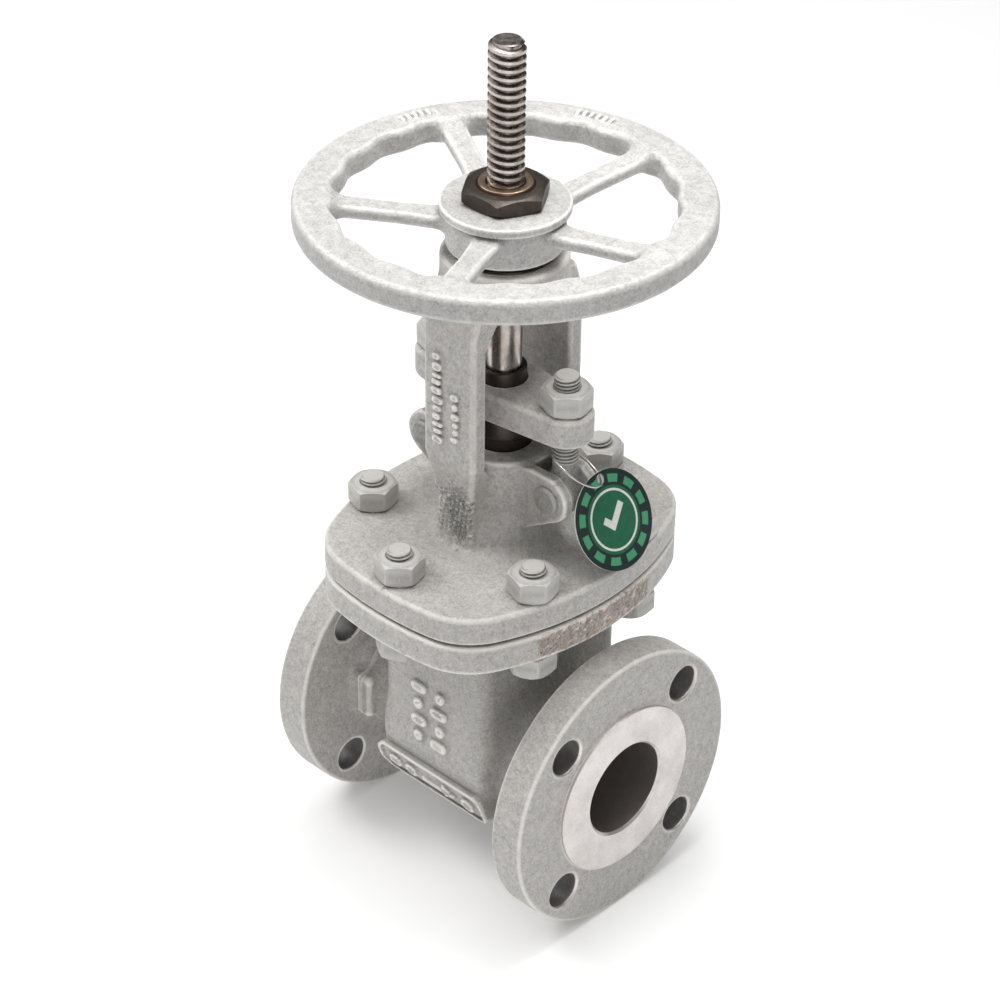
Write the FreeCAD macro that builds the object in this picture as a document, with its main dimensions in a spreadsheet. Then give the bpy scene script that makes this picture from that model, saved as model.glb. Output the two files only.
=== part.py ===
"""Gate valve, DN50 Class 150: outside screw and yoke, rising stem, bolted bonnet, shown fully open.

The row frame has its origin where the flow bore's axis meets the stem's axis.
+X runs along the flow towards the outlet flange, +Y across it and +Z up the stem.
"""

import FreeCAD, Part
import math
import os
import Sketcher

SHEET = "Sizes"

SIZES = {
    # End flanges and flow bore
    "face_to_face": 178.0,
    "bore_radius": 25.4,
    "flange_radius": 76.2,
    "flange_thickness": 19.0,
    "raised_face_radius": 46.05,
    "raised_face_step": 1.6,
    "flange_hole_circle": 60.325,
    "flange_hole_radius": 9.525,
    "nozzle_radius": 36.0,
    # Drum and neck of the body, with the cavity that the wedge travels in
    "drum_radius": 50.5,
    "drum_half_width": 36.5,
    "neck_half_depth": 50.0,
    "cavity_radius": 43.4,
    "cavity_half_width": 22.0,
    "cavity_half_depth": 43.4,
    "guide_half_width": 4.0,
    "guide_rib_width": 4.5,
    "guide_height": 7.4,
    "guide_bottom": -25.0,
    "guide_top": 100.0,
    "rib_length": 14.0,
    "rib_reach": 42.0,
    "rib_half_height": 12.5,
    "pad_thickness": 2.5,
    "pad_half_height": 10.0,
    "pad_drop": 18.5,
    # Oval joint between the body and the bonnet
    "body_flange_bottom": 90.5,
    "body_flange_top": 106.0,
    "gasket_thickness": 1.5,
    "gasket_inset": 3.0,
    "bonnet_flange_top": 122.8,
    "oval_half_width": 72.0,
    "oval_half_length": 86.0,
    "oval_side_arc": 151.0,
    "oval_end_arc": 190.0,
    "oval_corner_radius": 45.0,
    "stud_end_y": 71.0,
    "stud_side_x": 55.5,
    "stud_side_y": 35.5,
    "stud_radius": 6.35,
    "stud_chamfer": 1.0,
    "stud_hole_radius": 7.2,
    "stud_top": 138.7,
    "stud_bottom": 74.6,
    "nut_corner_radius": 12.817,
    "nut_height": 12.3,
    "nut_chamfer": 1.3,
    "upper_nut_corner_angle": 44.0,
    "lower_nut_corner_angle": 30.0,
    # Bonnet: stuffing box, eyebolt ears and yoke
    "bonnet_cavity_radius": 24.0,
    "bonnet_cavity_top": 117.0,
    "neck_foot_radius": 33.0,
    "neck_foot_top": 140.0,
    "stuffing_box_radius": 25.5,
    "stuffing_box_top": 171.0,
    "packing_chamber_radius": 14.5,
    "packing_chamber_floor": 134.0,
    "ear_end_radius": 12.0,
    "ear_pin_x": 42.0,
    "ear_pin_z": 159.0,
    "ear_foot_z": 134.0,
    "ear_half_span": 12.5,
    "ear_half_gap": 6.7,
    "ear_gap_start": 27.0,
    "arm_half_width": 17.0,
    "arm_foot_half_width": 11.5,
    "arm_foot_y": 34.0,
    "arm_outer_y": 38.0,
    "arm_inner_y": 28.5,
    "arm_waist": 148.0,
    "arm_bend_low": 174.0,
    "arm_bend_high": 246.0,
    "arm_inner_high": 238.0,
    "yoke_hub_radius": 31.0,
    "yoke_hub_bottom": 254.0,
    "yoke_hub_top": 276.0,
    "yoke_pocket_radius": 25.0,
    "yoke_pocket_floor": 262.0,
    # Stem, wedge and seats
    "stem_radius": 8.9,
    "stem_top": 384.0,
    "stem_end_chamfer": 2.2,
    "thread_start": 252.0,
    "thread_relief": 0.6,
    "thread_relief_length": 4.0,
    "stem_lift": 58.208,
    "stem_head_radius": 11.0,
    "stem_head_height": 6.6,
    "stem_neck_radius": 7.0,
    "stem_shoulder_radius": 12.0,
    "stem_shoulder_bottom": 108.2,
    "stem_shoulder_height": 4.0,
    "running_gap": 0.05,
    "face_gap": 0.3,
    "wedge_radius": 32.5,
    "wedge_slope": 0.0875,
    "seat_half_spacing": 14.0,
    "wedge_lug_reach": 42.0,
    "wedge_lug_half_height": 9.0,
    "tee_block_half_depth": 15.0,
    "tee_block_top": 48.0,
    "tee_head_floor": 35.0,
    "tee_neck_floor": 42.0,
    "seat_radius": 31.0,
    "seat_end": 32.0,
    "backseat_radius": 14.0,
    "backseat_bottom": 113.0,
    "packing_ring_height": 6.0,
    # Gland
    "follower_nose_radius": 14.3,
    "follower_nose_bottom": 164.4,
    "follower_shoulder_radius": 17.0,
    "follower_shoulder_bottom": 179.0,
    "follower_neck_radius": 11.5,
    "follower_top": 213.0,
    "gland_flange_bottom": 190.0,
    "gland_flange_top": 206.0,
    "gland_centre_radius": 19.5,
    "gland_end_radius": 13.5,
    "gland_hole_radius": 6.9,
    "eyebolt_eye_radius": 11.0,
    "eyebolt_eye_half_width": 6.4,
    "eyebolt_top": 225.0,
    "pin_radius": 5.0,
    "pin_reach": 12.8,
    "pin_head_radius": 7.0,
    "pin_head_height": 2.2,
    # Stem nut, bearings and handwheel
    "sleeve_bottom": 254.5,
    "sleeve_journal_radius": 16.0,
    "sleeve_collar_radius": 22.0,
    "sleeve_collar_height": 6.0,
    "thrust_washer_outer": 24.0,
    "thrust_washer_height": 2.0,
    "cap_height": 5.0,
    "drive_radius": 15.0,
    "drive_thread_radius": 13.3,
    "sleeve_top": 312.3,
    "hub_bottom": 279.2,
    "hub_top": 302.5,
    "hub_top_radius": 30.5,
    "hub_bottom_radius": 28.0,
    "hub_edge": 1.5,
    "hub_lip": 4.0,
    "wheel_radius": 100.0,
    "rim_inner_radius": 80.5,
    "rim_top": 305.0,
    "rim_height": 13.0,
    "rim_edge": 2.0,
    "spoke_width": 12.5,
    "spoke_thickness": 6.5,
    "spoke_rim_top": 302.4,
    "spoke_hub_top": 295.0,
    "spoke_angle": 8.8,
    "lock_nut_corner_radius": 21.939,
    "lock_nut_height": 8.5,
    "lock_nut_chamfer": 2.0,
    "lock_nut_corner_angle": 3.6,
    "key_width": 5.0,
    "key_depth": 2.5,
    "key_length": 18.0,
    # Hang tag
    "tag_radius": 25.0,
    "tag_thickness": 0.8,
    "tag_x": 64.64,
    "tag_y": 11.14,
    "tag_z": 147.29,
    "tag_tilt": 27.1,
    "tag_hole_radius": 2.2,
    "tag_hole_reach": 21.4,
    "ring_radius": 14.9,
    "ring_wire_radius": 0.6,
    "ring_x": 47.44,
    "ring_y": 1.54,
    "ring_z": 174.99,
}

SPOKES = 5
PACKING_RINGS = 5


class Size:
    """A number together with the expression over the sheet that gives it."""

    def __init__(self, value, text):
        self.value = value
        self.text = text

    def combined(self, other, sign, value):
        if isinstance(other, Size):
            return Size(value, "(%s %s %s)" % (self.text, sign, other.text))
        return Size(value, "(%s %s %r)" % (self.text, sign, float(other)))

    def __add__(self, other):
        return self.combined(other, "+", self.value + plain(other))

    def __sub__(self, other):
        return self.combined(other, "-", self.value - plain(other))

    def __mul__(self, other):
        return self.combined(other, "*", self.value * plain(other))

    def __truediv__(self, other):
        return self.combined(other, "/", self.value / plain(other))

    def __radd__(self, other):
        return self + other

    def __rsub__(self, other):
        return -self + other

    def __rmul__(self, other):
        return self * other

    def __neg__(self):
        return self * -1.0


def plain(size):
    """The number of a Size or of a plain number."""
    return size.value if isinstance(size, Size) else float(size)


def root(size):
    """The square root of a Size."""
    return Size(math.sqrt(size.value), "sqrt(%s)" % size.text)


doc = FreeCAD.newDocument("GateValve")
sheet = doc.addObject("Spreadsheet::Sheet", SHEET)
for row, (alias, number) in enumerate(SIZES.items(), start=1):
    sheet.set("A%d" % row, alias)
    sheet.set("B%d" % row, str(number))
    sheet.setAlias("B%d" % row, alias)
doc.recompute()

D = {alias: Size(number, "%s.%s" % (SHEET, alias)) for alias, number in SIZES.items()}


# Helpers ---------------------------------------------------------------------------------------


def bind(thing, name, size):
    """Sets one property, by an expression where the size comes from the sheet."""
    if isinstance(size, Size):
        thing.setExpression(name, size.text)
    else:
        setattr(thing, name, size)


def place(thing, x=0.0, y=0.0, z=0.0, turn=None):
    """Puts an object at x, y, z, with its own axes turned first if a rotation is given."""
    here = FreeCAD.Vector(plain(x), plain(y), plain(z))
    thing.Placement = FreeCAD.Placement(here, turn or FreeCAD.Rotation())
    for axis, size in (("x", x), ("y", y), ("z", z)):
        if isinstance(size, Size):
            thing.setExpression("Placement.Base." + axis, size.text)
    return thing


ALONG_X = FreeCAD.Rotation(FreeCAD.Vector(0, 1, 0), 90)
ALONG_Y = FreeCAD.Rotation(FreeCAD.Vector(1, 0, 0), -90)


def cylinder(name, radius, length, x=0.0, y=0.0, z=0.0, turn=None):
    rod = doc.addObject("Part::Cylinder", name)
    bind(rod, "Radius", radius)
    bind(rod, "Height", length)
    return place(rod, x, y, z, turn)


def box(name, low, high):
    block = doc.addObject("Part::Box", name)
    for side, a, b in zip(("Length", "Width", "Height"), low, high):
        bind(block, side, b - a)
    return place(block, *low)


def cone(name, bottom_radius, top_radius, height, x=0.0, y=0.0, z=0.0, turn=None):
    taper = doc.addObject("Part::Cone", name)
    bind(taper, "Radius1", bottom_radius)
    bind(taper, "Radius2", top_radius)
    bind(taper, "Height", height)
    return place(taper, x, y, z, turn)


def fuse(name, *shapes):
    joined = doc.addObject("Part::MultiFuse", name)
    joined.Shapes = list(shapes)
    joined.Refine = True
    return joined


def common(name, *shapes):
    shared = doc.addObject("Part::MultiCommon", name)
    shared.Shapes = list(shapes)
    return shared


def cut(name, base, *tools):
    left = doc.addObject("Part::Cut", name)
    left.Base = base
    left.Tool = tools[0] if len(tools) == 1 else fuse(name + "Tools", *tools)
    left.Refine = True
    return left


def group(name, *shapes):
    """Separate solids that share one node."""
    several = doc.addObject("Part::Compound", name)
    several.Links = list(shapes)
    return several


def outline(body, name, plane, points):
    """A closed sketch of straight lines on one of the body's own planes, each corner bound."""
    sketch = body.newObject("Sketcher::SketchObject", name)
    origin = [f for f in body.Origin.OriginFeatures if f.Role == plane][0]
    sketch.AttachmentSupport = [(origin, "")]
    sketch.MapMode = "FlatFace"
    corners = [FreeCAD.Vector(plain(a), plain(b), 0) for a, b in points]
    count = len(points)
    for i in range(count):
        sketch.addGeometry(Part.LineSegment(corners[i], corners[(i + 1) % count]), False)
    for i in range(count):
        sketch.addConstraint(Sketcher.Constraint("Coincident", i, 2, (i + 1) % count, 1))
    for i, (across, up) in enumerate(points):
        for kind, size in (("DistanceX", across), ("DistanceY", up)):
            index = sketch.addConstraint(Sketcher.Constraint(kind, -1, 1, i, 1, plain(size)))
            if isinstance(size, Size):
                label = "%s%d" % (kind, i)
                sketch.renameConstraint(index, label)
                sketch.setExpression("Constraints." + label, size.text)
    return sketch


def turned(name, profile, x=0.0, y=0.0, z=0.0):
    """A body turned about its own Z axis from (radius, height) corners."""
    body = doc.addObject("PartDesign::Body", name)
    sketch = outline(body, name + "Profile", "XZ_Plane", profile)
    revolution = body.newObject("PartDesign::Revolution", name + "Revolution")
    revolution.Profile = sketch
    revolution.ReferenceAxis = (sketch, ["V_Axis"])
    revolution.Angle = 360.0
    body.Tip = revolution
    return place(body, x, y, z)


def plate(name, plane, points, thickness):
    """A body padded both ways from one of its own planes."""
    body = doc.addObject("PartDesign::Body", name)
    sketch = outline(body, name + "Outline", plane, points)
    pad = body.newObject("PartDesign::Pad", name + "Pad")
    pad.Profile = sketch
    pad.SideType = "Symmetric"
    bind(pad, "Length", thickness)
    body.Tip = pad
    return body


def hexagon_nut(name, corner_radius, chamfer, height, bore_radius, x, y, z, corner_angle):
    """A hexagon nut with a corner at an angle from +X, its upper and lower corners chamfered."""
    prism = doc.addObject("Part::Prism", name + "Prism")
    prism.Polygon = 6
    bind(prism, "Circumradius", corner_radius)
    bind(prism, "Height", height)
    place(prism, x, y, z, FreeCAD.Rotation(FreeCAD.Vector(0, 0, 1), plain(corner_angle)))
    low = corner_radius - chamfer
    rise = chamfer / 2
    rounded = turned(
        name + "Chamfers",
        [
            (0.0, 0.0),
            (low, 0.0),
            (corner_radius + 0.01, rise),
            (corner_radius + 0.01, height - rise),
            (low, height),
            (0.0, height),
        ],
        x, y, z,
    )
    blank = common(name + "Blank", prism, rounded)
    bore = cylinder(name + "Bore", bore_radius, height + 2, x, y, z - 1)
    return cut(name, blank, bore)


def rod_with_chamfers(name, radius, chamfer, bottom, top, x, y):
    """A stud: a straight rod whose two ends are chamfered."""
    profile = [
        (0.0, bottom),
        (radius - chamfer, bottom),
        (radius, bottom + chamfer),
        (radius, top - chamfer),
        (radius - chamfer, top),
        (0.0, top),
    ]
    return turned(name, profile, x, y)


def oval(name, inset, bottom, top):
    """The four-arc oval of the bonnet joint, its corners rounded."""
    height = top - bottom
    half_x = D["oval_half_width"] - inset
    half_y = D["oval_half_length"] - inset
    side = D["oval_side_arc"] - inset
    end = D["oval_end_arc"] - inset
    lens = common(
        name + "Lens",
        cylinder(name + "SideA", side, height, half_x - side, 0.0, bottom),
        cylinder(name + "SideB", side, height, side - half_x, 0.0, bottom),
        cylinder(name + "EndA", end, height, 0.0, half_y - end, bottom),
        cylinder(name + "EndB", end, height, 0.0, end - half_y, bottom),
    )
    doc.recompute()
    rounded = doc.addObject("Part::Fillet", name)
    rounded.Base = lens
    radius = plain(D["oval_corner_radius"])
    upright = [
        (index, radius, radius)
        for index, edge in enumerate(lens.Shape.Edges, start=1)
        if abs(edge.BoundBox.XLength) + abs(edge.BoundBox.YLength) < 0.01
    ]
    rounded.Edges = upright
    return rounded


def stud_places():
    """The six bonnet bolts: one at each end of the oval and two on each long side."""
    x = D["stud_side_x"]
    y = D["stud_side_y"]
    end = D["stud_end_y"]
    return [(x, y), (x, -y), (-x, y), (-x, -y), (Size(0.0, "0"), end), (Size(0.0, "0"), -end)]


def stud_holes(name, bottom, top):
    holes = [
        cylinder("%s%d" % (name, i), D["stud_hole_radius"], top - bottom + 2, x, y, bottom - 1)
        for i, (x, y) in enumerate(stud_places())
    ]
    return fuse(name, *holes)


nodes = {}


# Body casting ----------------------------------------------------------------------------------


def flange_holes(side):
    """Four bolt holes on the diagonals of one end flange."""
    reach = D["face_to_face"] / 2
    offset = D["flange_hole_circle"] * math.sqrt(0.5)
    start = reach - 30 if side > 0 else -reach - 2
    return [
        cylinder(
            "FlangeHole%s%d" % ("Out" if side > 0 else "In", i),
            D["flange_hole_radius"], 32.0, start, offset * sy, offset * sz, ALONG_X,
        )
        for i, (sy, sz) in enumerate(((1, 1), (1, -1), (-1, 1), (-1, -1)))
    ]


def make_body():
    reach = D["face_to_face"] / 2
    flange_face = reach - D["raised_face_step"]
    flange_back = flange_face - D["flange_thickness"]
    half = D["drum_half_width"]
    deep = D["neck_half_depth"]
    top = D["body_flange_top"]
    neck = box("NeckBlock", (-half, -deep, 0.0 * half), (half, deep, D["body_flange_bottom"] + 4))
    pad_reach = D["drum_radius"] + D["pad_thickness"]
    pad = common(
        "SidePad",
        cylinder("SidePadDrum", pad_reach, half * 2 + 3, -half - 1.5, 0.0, 0.0, ALONG_X),
        box(
            "SidePadWindow",
            (-half - 1.5, -pad_reach, -D["pad_drop"] - D["pad_half_height"]),
            (half + 1.5, -D["cavity_radius"], D["pad_half_height"] - D["pad_drop"]),
        ),
    )
    rib = box(
        "SideRib",
        (-flange_back - 1, -D["rib_reach"], -D["rib_half_height"]),
        (-flange_back + D["rib_length"], 0.0 * half, D["rib_half_height"]),
    )
    solid = fuse(
        "BodySolid",
        cylinder("Drum", D["drum_radius"], half * 2, -half, 0.0, 0.0, ALONG_X),
        neck,
        cylinder("Nozzles", D["nozzle_radius"], flange_face * 2, -flange_face, 0.0, 0.0, ALONG_X),
        cylinder("OutletFlange", D["flange_radius"], D["flange_thickness"], flange_back, 0.0, 0.0, ALONG_X),
        cylinder("InletFlange", D["flange_radius"], D["flange_thickness"], -flange_face, 0.0, 0.0, ALONG_X),
        cylinder("RaisedFaces", D["raised_face_radius"], reach * 2, -reach, 0.0, 0.0, ALONG_X),
        oval("BodyOval", 0.0, D["body_flange_bottom"], top),
        pad,
        rib,
    )
    cavity_half = D["cavity_half_width"]
    cavity = fuse(
        "Cavity",
        cylinder("CavityDrum", D["cavity_radius"], cavity_half * 2, -cavity_half, 0.0, 0.0, ALONG_X),
        box(
            "CavityNeck",
            (-cavity_half, -D["cavity_half_depth"], 0.0 * half),
            (cavity_half, D["cavity_half_depth"], top + 1),
        ),
    )
    near = D["guide_half_width"]
    far = near + D["guide_rib_width"]
    wall = D["cavity_half_depth"] + 2
    edge = D["cavity_half_depth"] - D["guide_height"]
    low = D["guide_bottom"]
    high = D["guide_top"]
    guides = [
        box("GuideRib1", (-far, -wall, low), (-near, -edge, high)),
        box("GuideRib2", (near, -wall, low), (far, -edge, high)),
        box("GuideRib3", (-far, edge, low), (-near, wall, high)),
        box("GuideRib4", (near, edge, low), (far, wall, high)),
    ]
    hollow = cut("HollowSpace", cavity, *guides)
    seat_end = D["seat_end"]
    return cut(
        "body",
        solid,
        hollow,
        cylinder("SeatPockets", D["seat_radius"], seat_end * 2, -seat_end, 0.0, 0.0, ALONG_X),
        cylinder("FlowBore", D["bore_radius"], reach * 2 + 2, -reach - 1, 0.0, 0.0, ALONG_X),
        stud_holes("BodyStudHoles", D["body_flange_bottom"], top),
        *flange_holes(1),
        *flange_holes(-1),
    )


# Seats and wedge -------------------------------------------------------------------------------


def wedge_prism(name, half_spacing, bottom, top, raise_by, depth):
    """The tapered prism whose two flat faces slope outwards towards the top."""
    low = half_spacing + D["wedge_slope"] * bottom
    high = half_spacing + D["wedge_slope"] * top
    points = [
        (-low, raise_by + bottom),
        (low, raise_by + bottom),
        (high, raise_by + top),
        (-high, raise_by + top),
    ]
    return plate(name, "XZ_Plane", points, depth)


def make_seat_ring(name, side):
    """A ring in the body's pocket, its inner face cut to the wedge's slope."""
    start = -D["seat_end"] if side < 0 else 0.0 * D["seat_end"]
    blank = cylinder(name + "Blank", D["seat_radius"], D["seat_end"], start, 0.0, 0.0, ALONG_X)
    bore = cylinder(name + "Bore", D["bore_radius"], D["seat_end"] + 2, start - 1, 0.0, 0.0, ALONG_X)
    still = 0.0 * D["stem_lift"]
    taper = wedge_prism(name + "Taper", D["seat_half_spacing"], -50.0, 50.0, still, 100.0)
    return cut(name, blank, bore, taper)


def make_wedge():
    lift = D["stem_lift"]
    half = D["seat_half_spacing"] - D["face_gap"]
    prism = wedge_prism("WedgeTaper", half, -40.0, 60.0, lift, 100.0)
    disc = cylinder("WedgeDisc", D["wedge_radius"], 60.0, -30.0, 0.0, lift, ALONG_X)
    deep = D["tee_block_half_depth"]
    block = box("TeeBlock", (-lift, -deep, lift), (lift, deep, lift + D["tee_block_top"]))
    faces = common("WedgeFaces", prism, fuse("WedgeBlank", disc, block))
    reach = D["wedge_lug_reach"]
    wide = D["guide_half_width"] - D["face_gap"]
    tall = D["wedge_lug_half_height"]
    lugs = box("WedgeLugs", (-wide, -reach, lift - tall), (wide, reach, lift + tall))
    head = D["stem_head_radius"] + D["face_gap"]
    neck = D["stem_neck_radius"] + D["face_gap"]
    top = D["tee_block_top"] + 1
    tee = [
        box("TeeHead", (-lift, -head, lift + D["tee_head_floor"]), (lift, head, lift + D["tee_neck_floor"])),
        box("TeeNeck", (-lift, -neck, lift + D["tee_head_floor"]), (lift, neck, lift + top)),
    ]
    return cut("wedge", fuse("WedgeSolid", faces, lugs), *tee)


# Stem ------------------------------------------------------------------------------------------


def make_stem():
    head_bottom = D["stem_lift"] + D["tee_head_floor"] + 0.2
    head_top = head_bottom + D["stem_head_height"]
    shoulder = D["stem_shoulder_bottom"]
    shoulder_top = shoulder + D["stem_shoulder_height"]
    slant = D["stem_shoulder_radius"] - D["stem_radius"]
    relief = D["stem_radius"] - D["thread_relief"]
    start = D["thread_start"]
    profile = [
        (0.0, head_bottom),
        (D["stem_head_radius"], head_bottom),
        (D["stem_head_radius"], head_top),
        (D["stem_neck_radius"], head_top),
        (D["stem_neck_radius"], shoulder),
        (D["stem_shoulder_radius"], shoulder),
        (D["stem_shoulder_radius"], shoulder_top),
        (D["stem_radius"], shoulder_top + slant),
        (D["stem_radius"], start - D["thread_relief_length"]),
        (relief, start - D["thread_relief_length"] + 1),
        (relief, start - 1),
        (D["stem_radius"], start),
        (D["stem_radius"], D["stem_top"] - D["stem_end_chamfer"]),
        (D["stem_radius"] - D["stem_end_chamfer"], D["stem_top"]),
        (0.0, D["stem_top"]),
    ]
    return turned("stem", profile)


# Bonnet joint ----------------------------------------------------------------------------------


def make_gasket():
    bottom = D["body_flange_top"]
    top = bottom + D["gasket_thickness"]
    sheet_blank = oval("GasketOval", D["gasket_inset"], bottom, top)
    wide = D["cavity_half_width"] + 3
    deep = D["cavity_half_depth"] + 2
    window = box("GasketWindow", (-wide, -deep, bottom - 1), (wide, deep, top + 1))
    return cut("bonnet_gasket", sheet_blank, window, stud_holes("GasketStudHoles", bottom, top))


def make_studs():
    studs = [
        rod_with_chamfers(
            "Stud%d" % i, D["stud_radius"], D["stud_chamfer"], D["stud_bottom"], D["stud_top"], x, y
        )
        for i, (x, y) in enumerate(stud_places())
    ]
    return group("bonnet_studs", *studs)


def make_stud_nuts(name, bottom, corner_angle):
    nuts = [
        hexagon_nut(
            "%s%d" % (name.title().replace("_", ""), i),
            D["nut_corner_radius"], D["nut_chamfer"], D["nut_height"],
            D["stud_radius"] + D["running_gap"], x, y, bottom, corner_angle,
        )
        for i, (x, y) in enumerate(stud_places())
    ]
    return group(name, *nuts)


# Bonnet with its yoke --------------------------------------------------------------------------


def make_ear_pair(name, side):
    """Two parallel ears that hold one eyebolt's pin between them."""
    pin_x = D["ear_pin_x"]
    pin_z = D["ear_pin_z"]
    end = D["ear_end_radius"]
    lean = end * 0.62
    drop = end * 0.78
    points = [
        (0.0, pin_z + end - 5),
        (D["stuffing_box_radius"] * side, pin_z + end),
        (pin_x * side, pin_z + end),
        ((pin_x + lean) * side, pin_z - drop),
        (D["stuffing_box_radius"] * side, D["ear_foot_z"]),
        (0.0, D["ear_foot_z"]),
    ]
    web = plate(name + "Web", "XZ_Plane", points, D["ear_half_span"] * 2)
    span = D["ear_half_span"]
    tip = cylinder(name + "Tip", end, span * 2, pin_x * side, -span, pin_z, ALONG_Y)
    return fuse(name, web, tip)


def make_bonnet():
    flange_bottom = D["body_flange_top"] + D["gasket_thickness"]
    flange_top = D["bonnet_flange_top"]
    foot_height = D["neck_foot_top"] - flange_top
    box_top = D["stuffing_box_top"]
    foot = flange_top - 4
    portal_side = plate(
        "YokePortalSide",
        "YZ_Plane",
        [
            (-D["arm_foot_y"], foot),
            (-D["arm_foot_y"], D["arm_waist"]),
            (-D["arm_outer_y"], D["arm_bend_low"]),
            (-D["arm_outer_y"], D["arm_bend_high"]),
            (-D["yoke_hub_radius"], D["yoke_hub_top"] - 8),
            (D["yoke_hub_radius"], D["yoke_hub_top"] - 8),
            (D["arm_outer_y"], D["arm_bend_high"]),
            (D["arm_outer_y"], D["arm_bend_low"]),
            (D["arm_foot_y"], D["arm_waist"]),
            (D["arm_foot_y"], foot),
            (D["arm_inner_y"], foot),
            (D["arm_inner_y"], D["arm_inner_high"]),
            (D["arm_inner_y"] - 10, D["yoke_hub_bottom"]),
            (-D["arm_inner_y"] + 10, D["yoke_hub_bottom"]),
            (-D["arm_inner_y"], D["arm_inner_high"]),
            (-D["arm_inner_y"], foot),
        ],
        D["arm_half_width"] * 2,
    )
    slim = D["arm_foot_half_width"]
    wide = D["arm_half_width"]
    portal_front = plate(
        "YokePortalFront",
        "XZ_Plane",
        [
            (-slim, foot),
            (slim, foot),
            (slim, D["arm_waist"]),
            (wide, D["arm_bend_low"]),
            (wide, D["yoke_hub_top"]),
            (-wide, D["yoke_hub_top"]),
            (-wide, D["arm_bend_low"]),
            (-slim, D["arm_waist"]),
        ],
        D["oval_half_length"] * 2,
    )
    portal = common("YokePortal", portal_side, portal_front)
    hub_bottom = D["yoke_hub_bottom"]
    hub_height = D["yoke_hub_top"] - hub_bottom
    solid = fuse(
        "BonnetSolid",
        oval("BonnetOval", 0.0, flange_bottom, flange_top),
        cylinder("StuffingBox", D["stuffing_box_radius"], box_top - flange_top + 4, 0.0, 0.0, foot),
        cone("NeckFoot", D["neck_foot_radius"], D["stuffing_box_radius"], foot_height, 0.0, 0.0, flange_top),
        make_ear_pair("OutletEars", 1),
        make_ear_pair("InletEars", -1),
        portal,
        cylinder("YokeHub", D["yoke_hub_radius"], hub_height, 0.0, 0.0, hub_bottom),
    )
    pin_x = D["ear_pin_x"]
    gap = D["ear_half_gap"]
    start = D["ear_gap_start"]
    reach = D["ear_pin_x"] + D["ear_end_radius"] + 5
    low = D["ear_foot_z"] - 4
    high = D["stuffing_box_top"] + 5
    bore = D["sleeve_journal_radius"] + D["running_gap"]
    chamber = D["packing_chamber_radius"]
    tools = [
        box("OutletEarGap", (start, -gap, low), (reach, gap, high)),
        box("InletEarGap", (-reach, -gap, low), (-start, gap, high)),
        cylinder("OutletPinHole", D["pin_radius"], 60.0, pin_x, -30.0, D["ear_pin_z"], ALONG_Y),
        cylinder("InletPinHole", D["pin_radius"], 60.0, -pin_x, -30.0, D["ear_pin_z"], ALONG_Y),
        cylinder("BonnetCavity", D["bonnet_cavity_radius"], 20.0, 0.0, 0.0, D["bonnet_cavity_top"] - 20),
        cylinder("BackseatBore", D["backseat_radius"], 60.0, 0.0, 0.0, D["packing_chamber_floor"] - 60),
        cylinder("PackingChamber", chamber, 45.0, 0.0, 0.0, D["packing_chamber_floor"]),
        cylinder("YokeBore", bore, 30.0, 0.0, 0.0, D["yoke_pocket_floor"] - 20),
        cylinder("YokePocket", D["yoke_pocket_radius"], 20.0, 0.0, 0.0, D["yoke_pocket_floor"]),
        stud_holes("BonnetStudHoles", flange_bottom, flange_top),
    ]
    return cut("bonnet", solid, *tools)


def make_backseat():
    bore = D["stem_radius"] + D["running_gap"]
    mouth = D["stem_shoulder_radius"] - 0.4
    bottom = D["backseat_bottom"]
    top = D["packing_chamber_floor"]
    profile = [
        (mouth, bottom),
        (D["backseat_radius"], bottom),
        (D["backseat_radius"], top),
        (bore, top),
        (bore, bottom + mouth - bore),
    ]
    return turned("backseat_bushing", profile)


def ring(name, inner, outer, bottom, top):
    """A plain square-section ring about the stem's axis."""
    return turned(name, [(inner, bottom), (outer, bottom), (outer, top), (inner, top)])


def make_packing():
    inner = D["stem_radius"] + D["running_gap"]
    outer = D["packing_chamber_radius"] - D["running_gap"]
    rings = []
    for i in range(PACKING_RINGS):
        bottom = D["packing_chamber_floor"] + 0.05 + D["packing_ring_height"] * i
        rings.append(ring("PackingRing%d" % i, inner, outer, bottom, bottom + D["packing_ring_height"] - 0.05))
    return group("packing_rings", *rings)


# Gland -----------------------------------------------------------------------------------------


def make_follower():
    bore = D["stem_radius"] + D["running_gap"]
    nose = D["follower_nose_radius"]
    shoulder = D["follower_shoulder_radius"]
    low = D["follower_shoulder_bottom"]
    seat = D["gland_flange_bottom"]
    neck = D["follower_neck_radius"]
    top = D["follower_top"]
    profile = [
        (bore, D["follower_nose_bottom"]),
        (nose, D["follower_nose_bottom"]),
        (nose, low),
        (shoulder, low),
        (shoulder, seat - 3),
        (shoulder - 3, seat),
        (neck, seat),
        (neck, top - 1),
        (neck - 1, top),
        (bore, top),
    ]
    return turned("gland_follower", profile)


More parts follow.
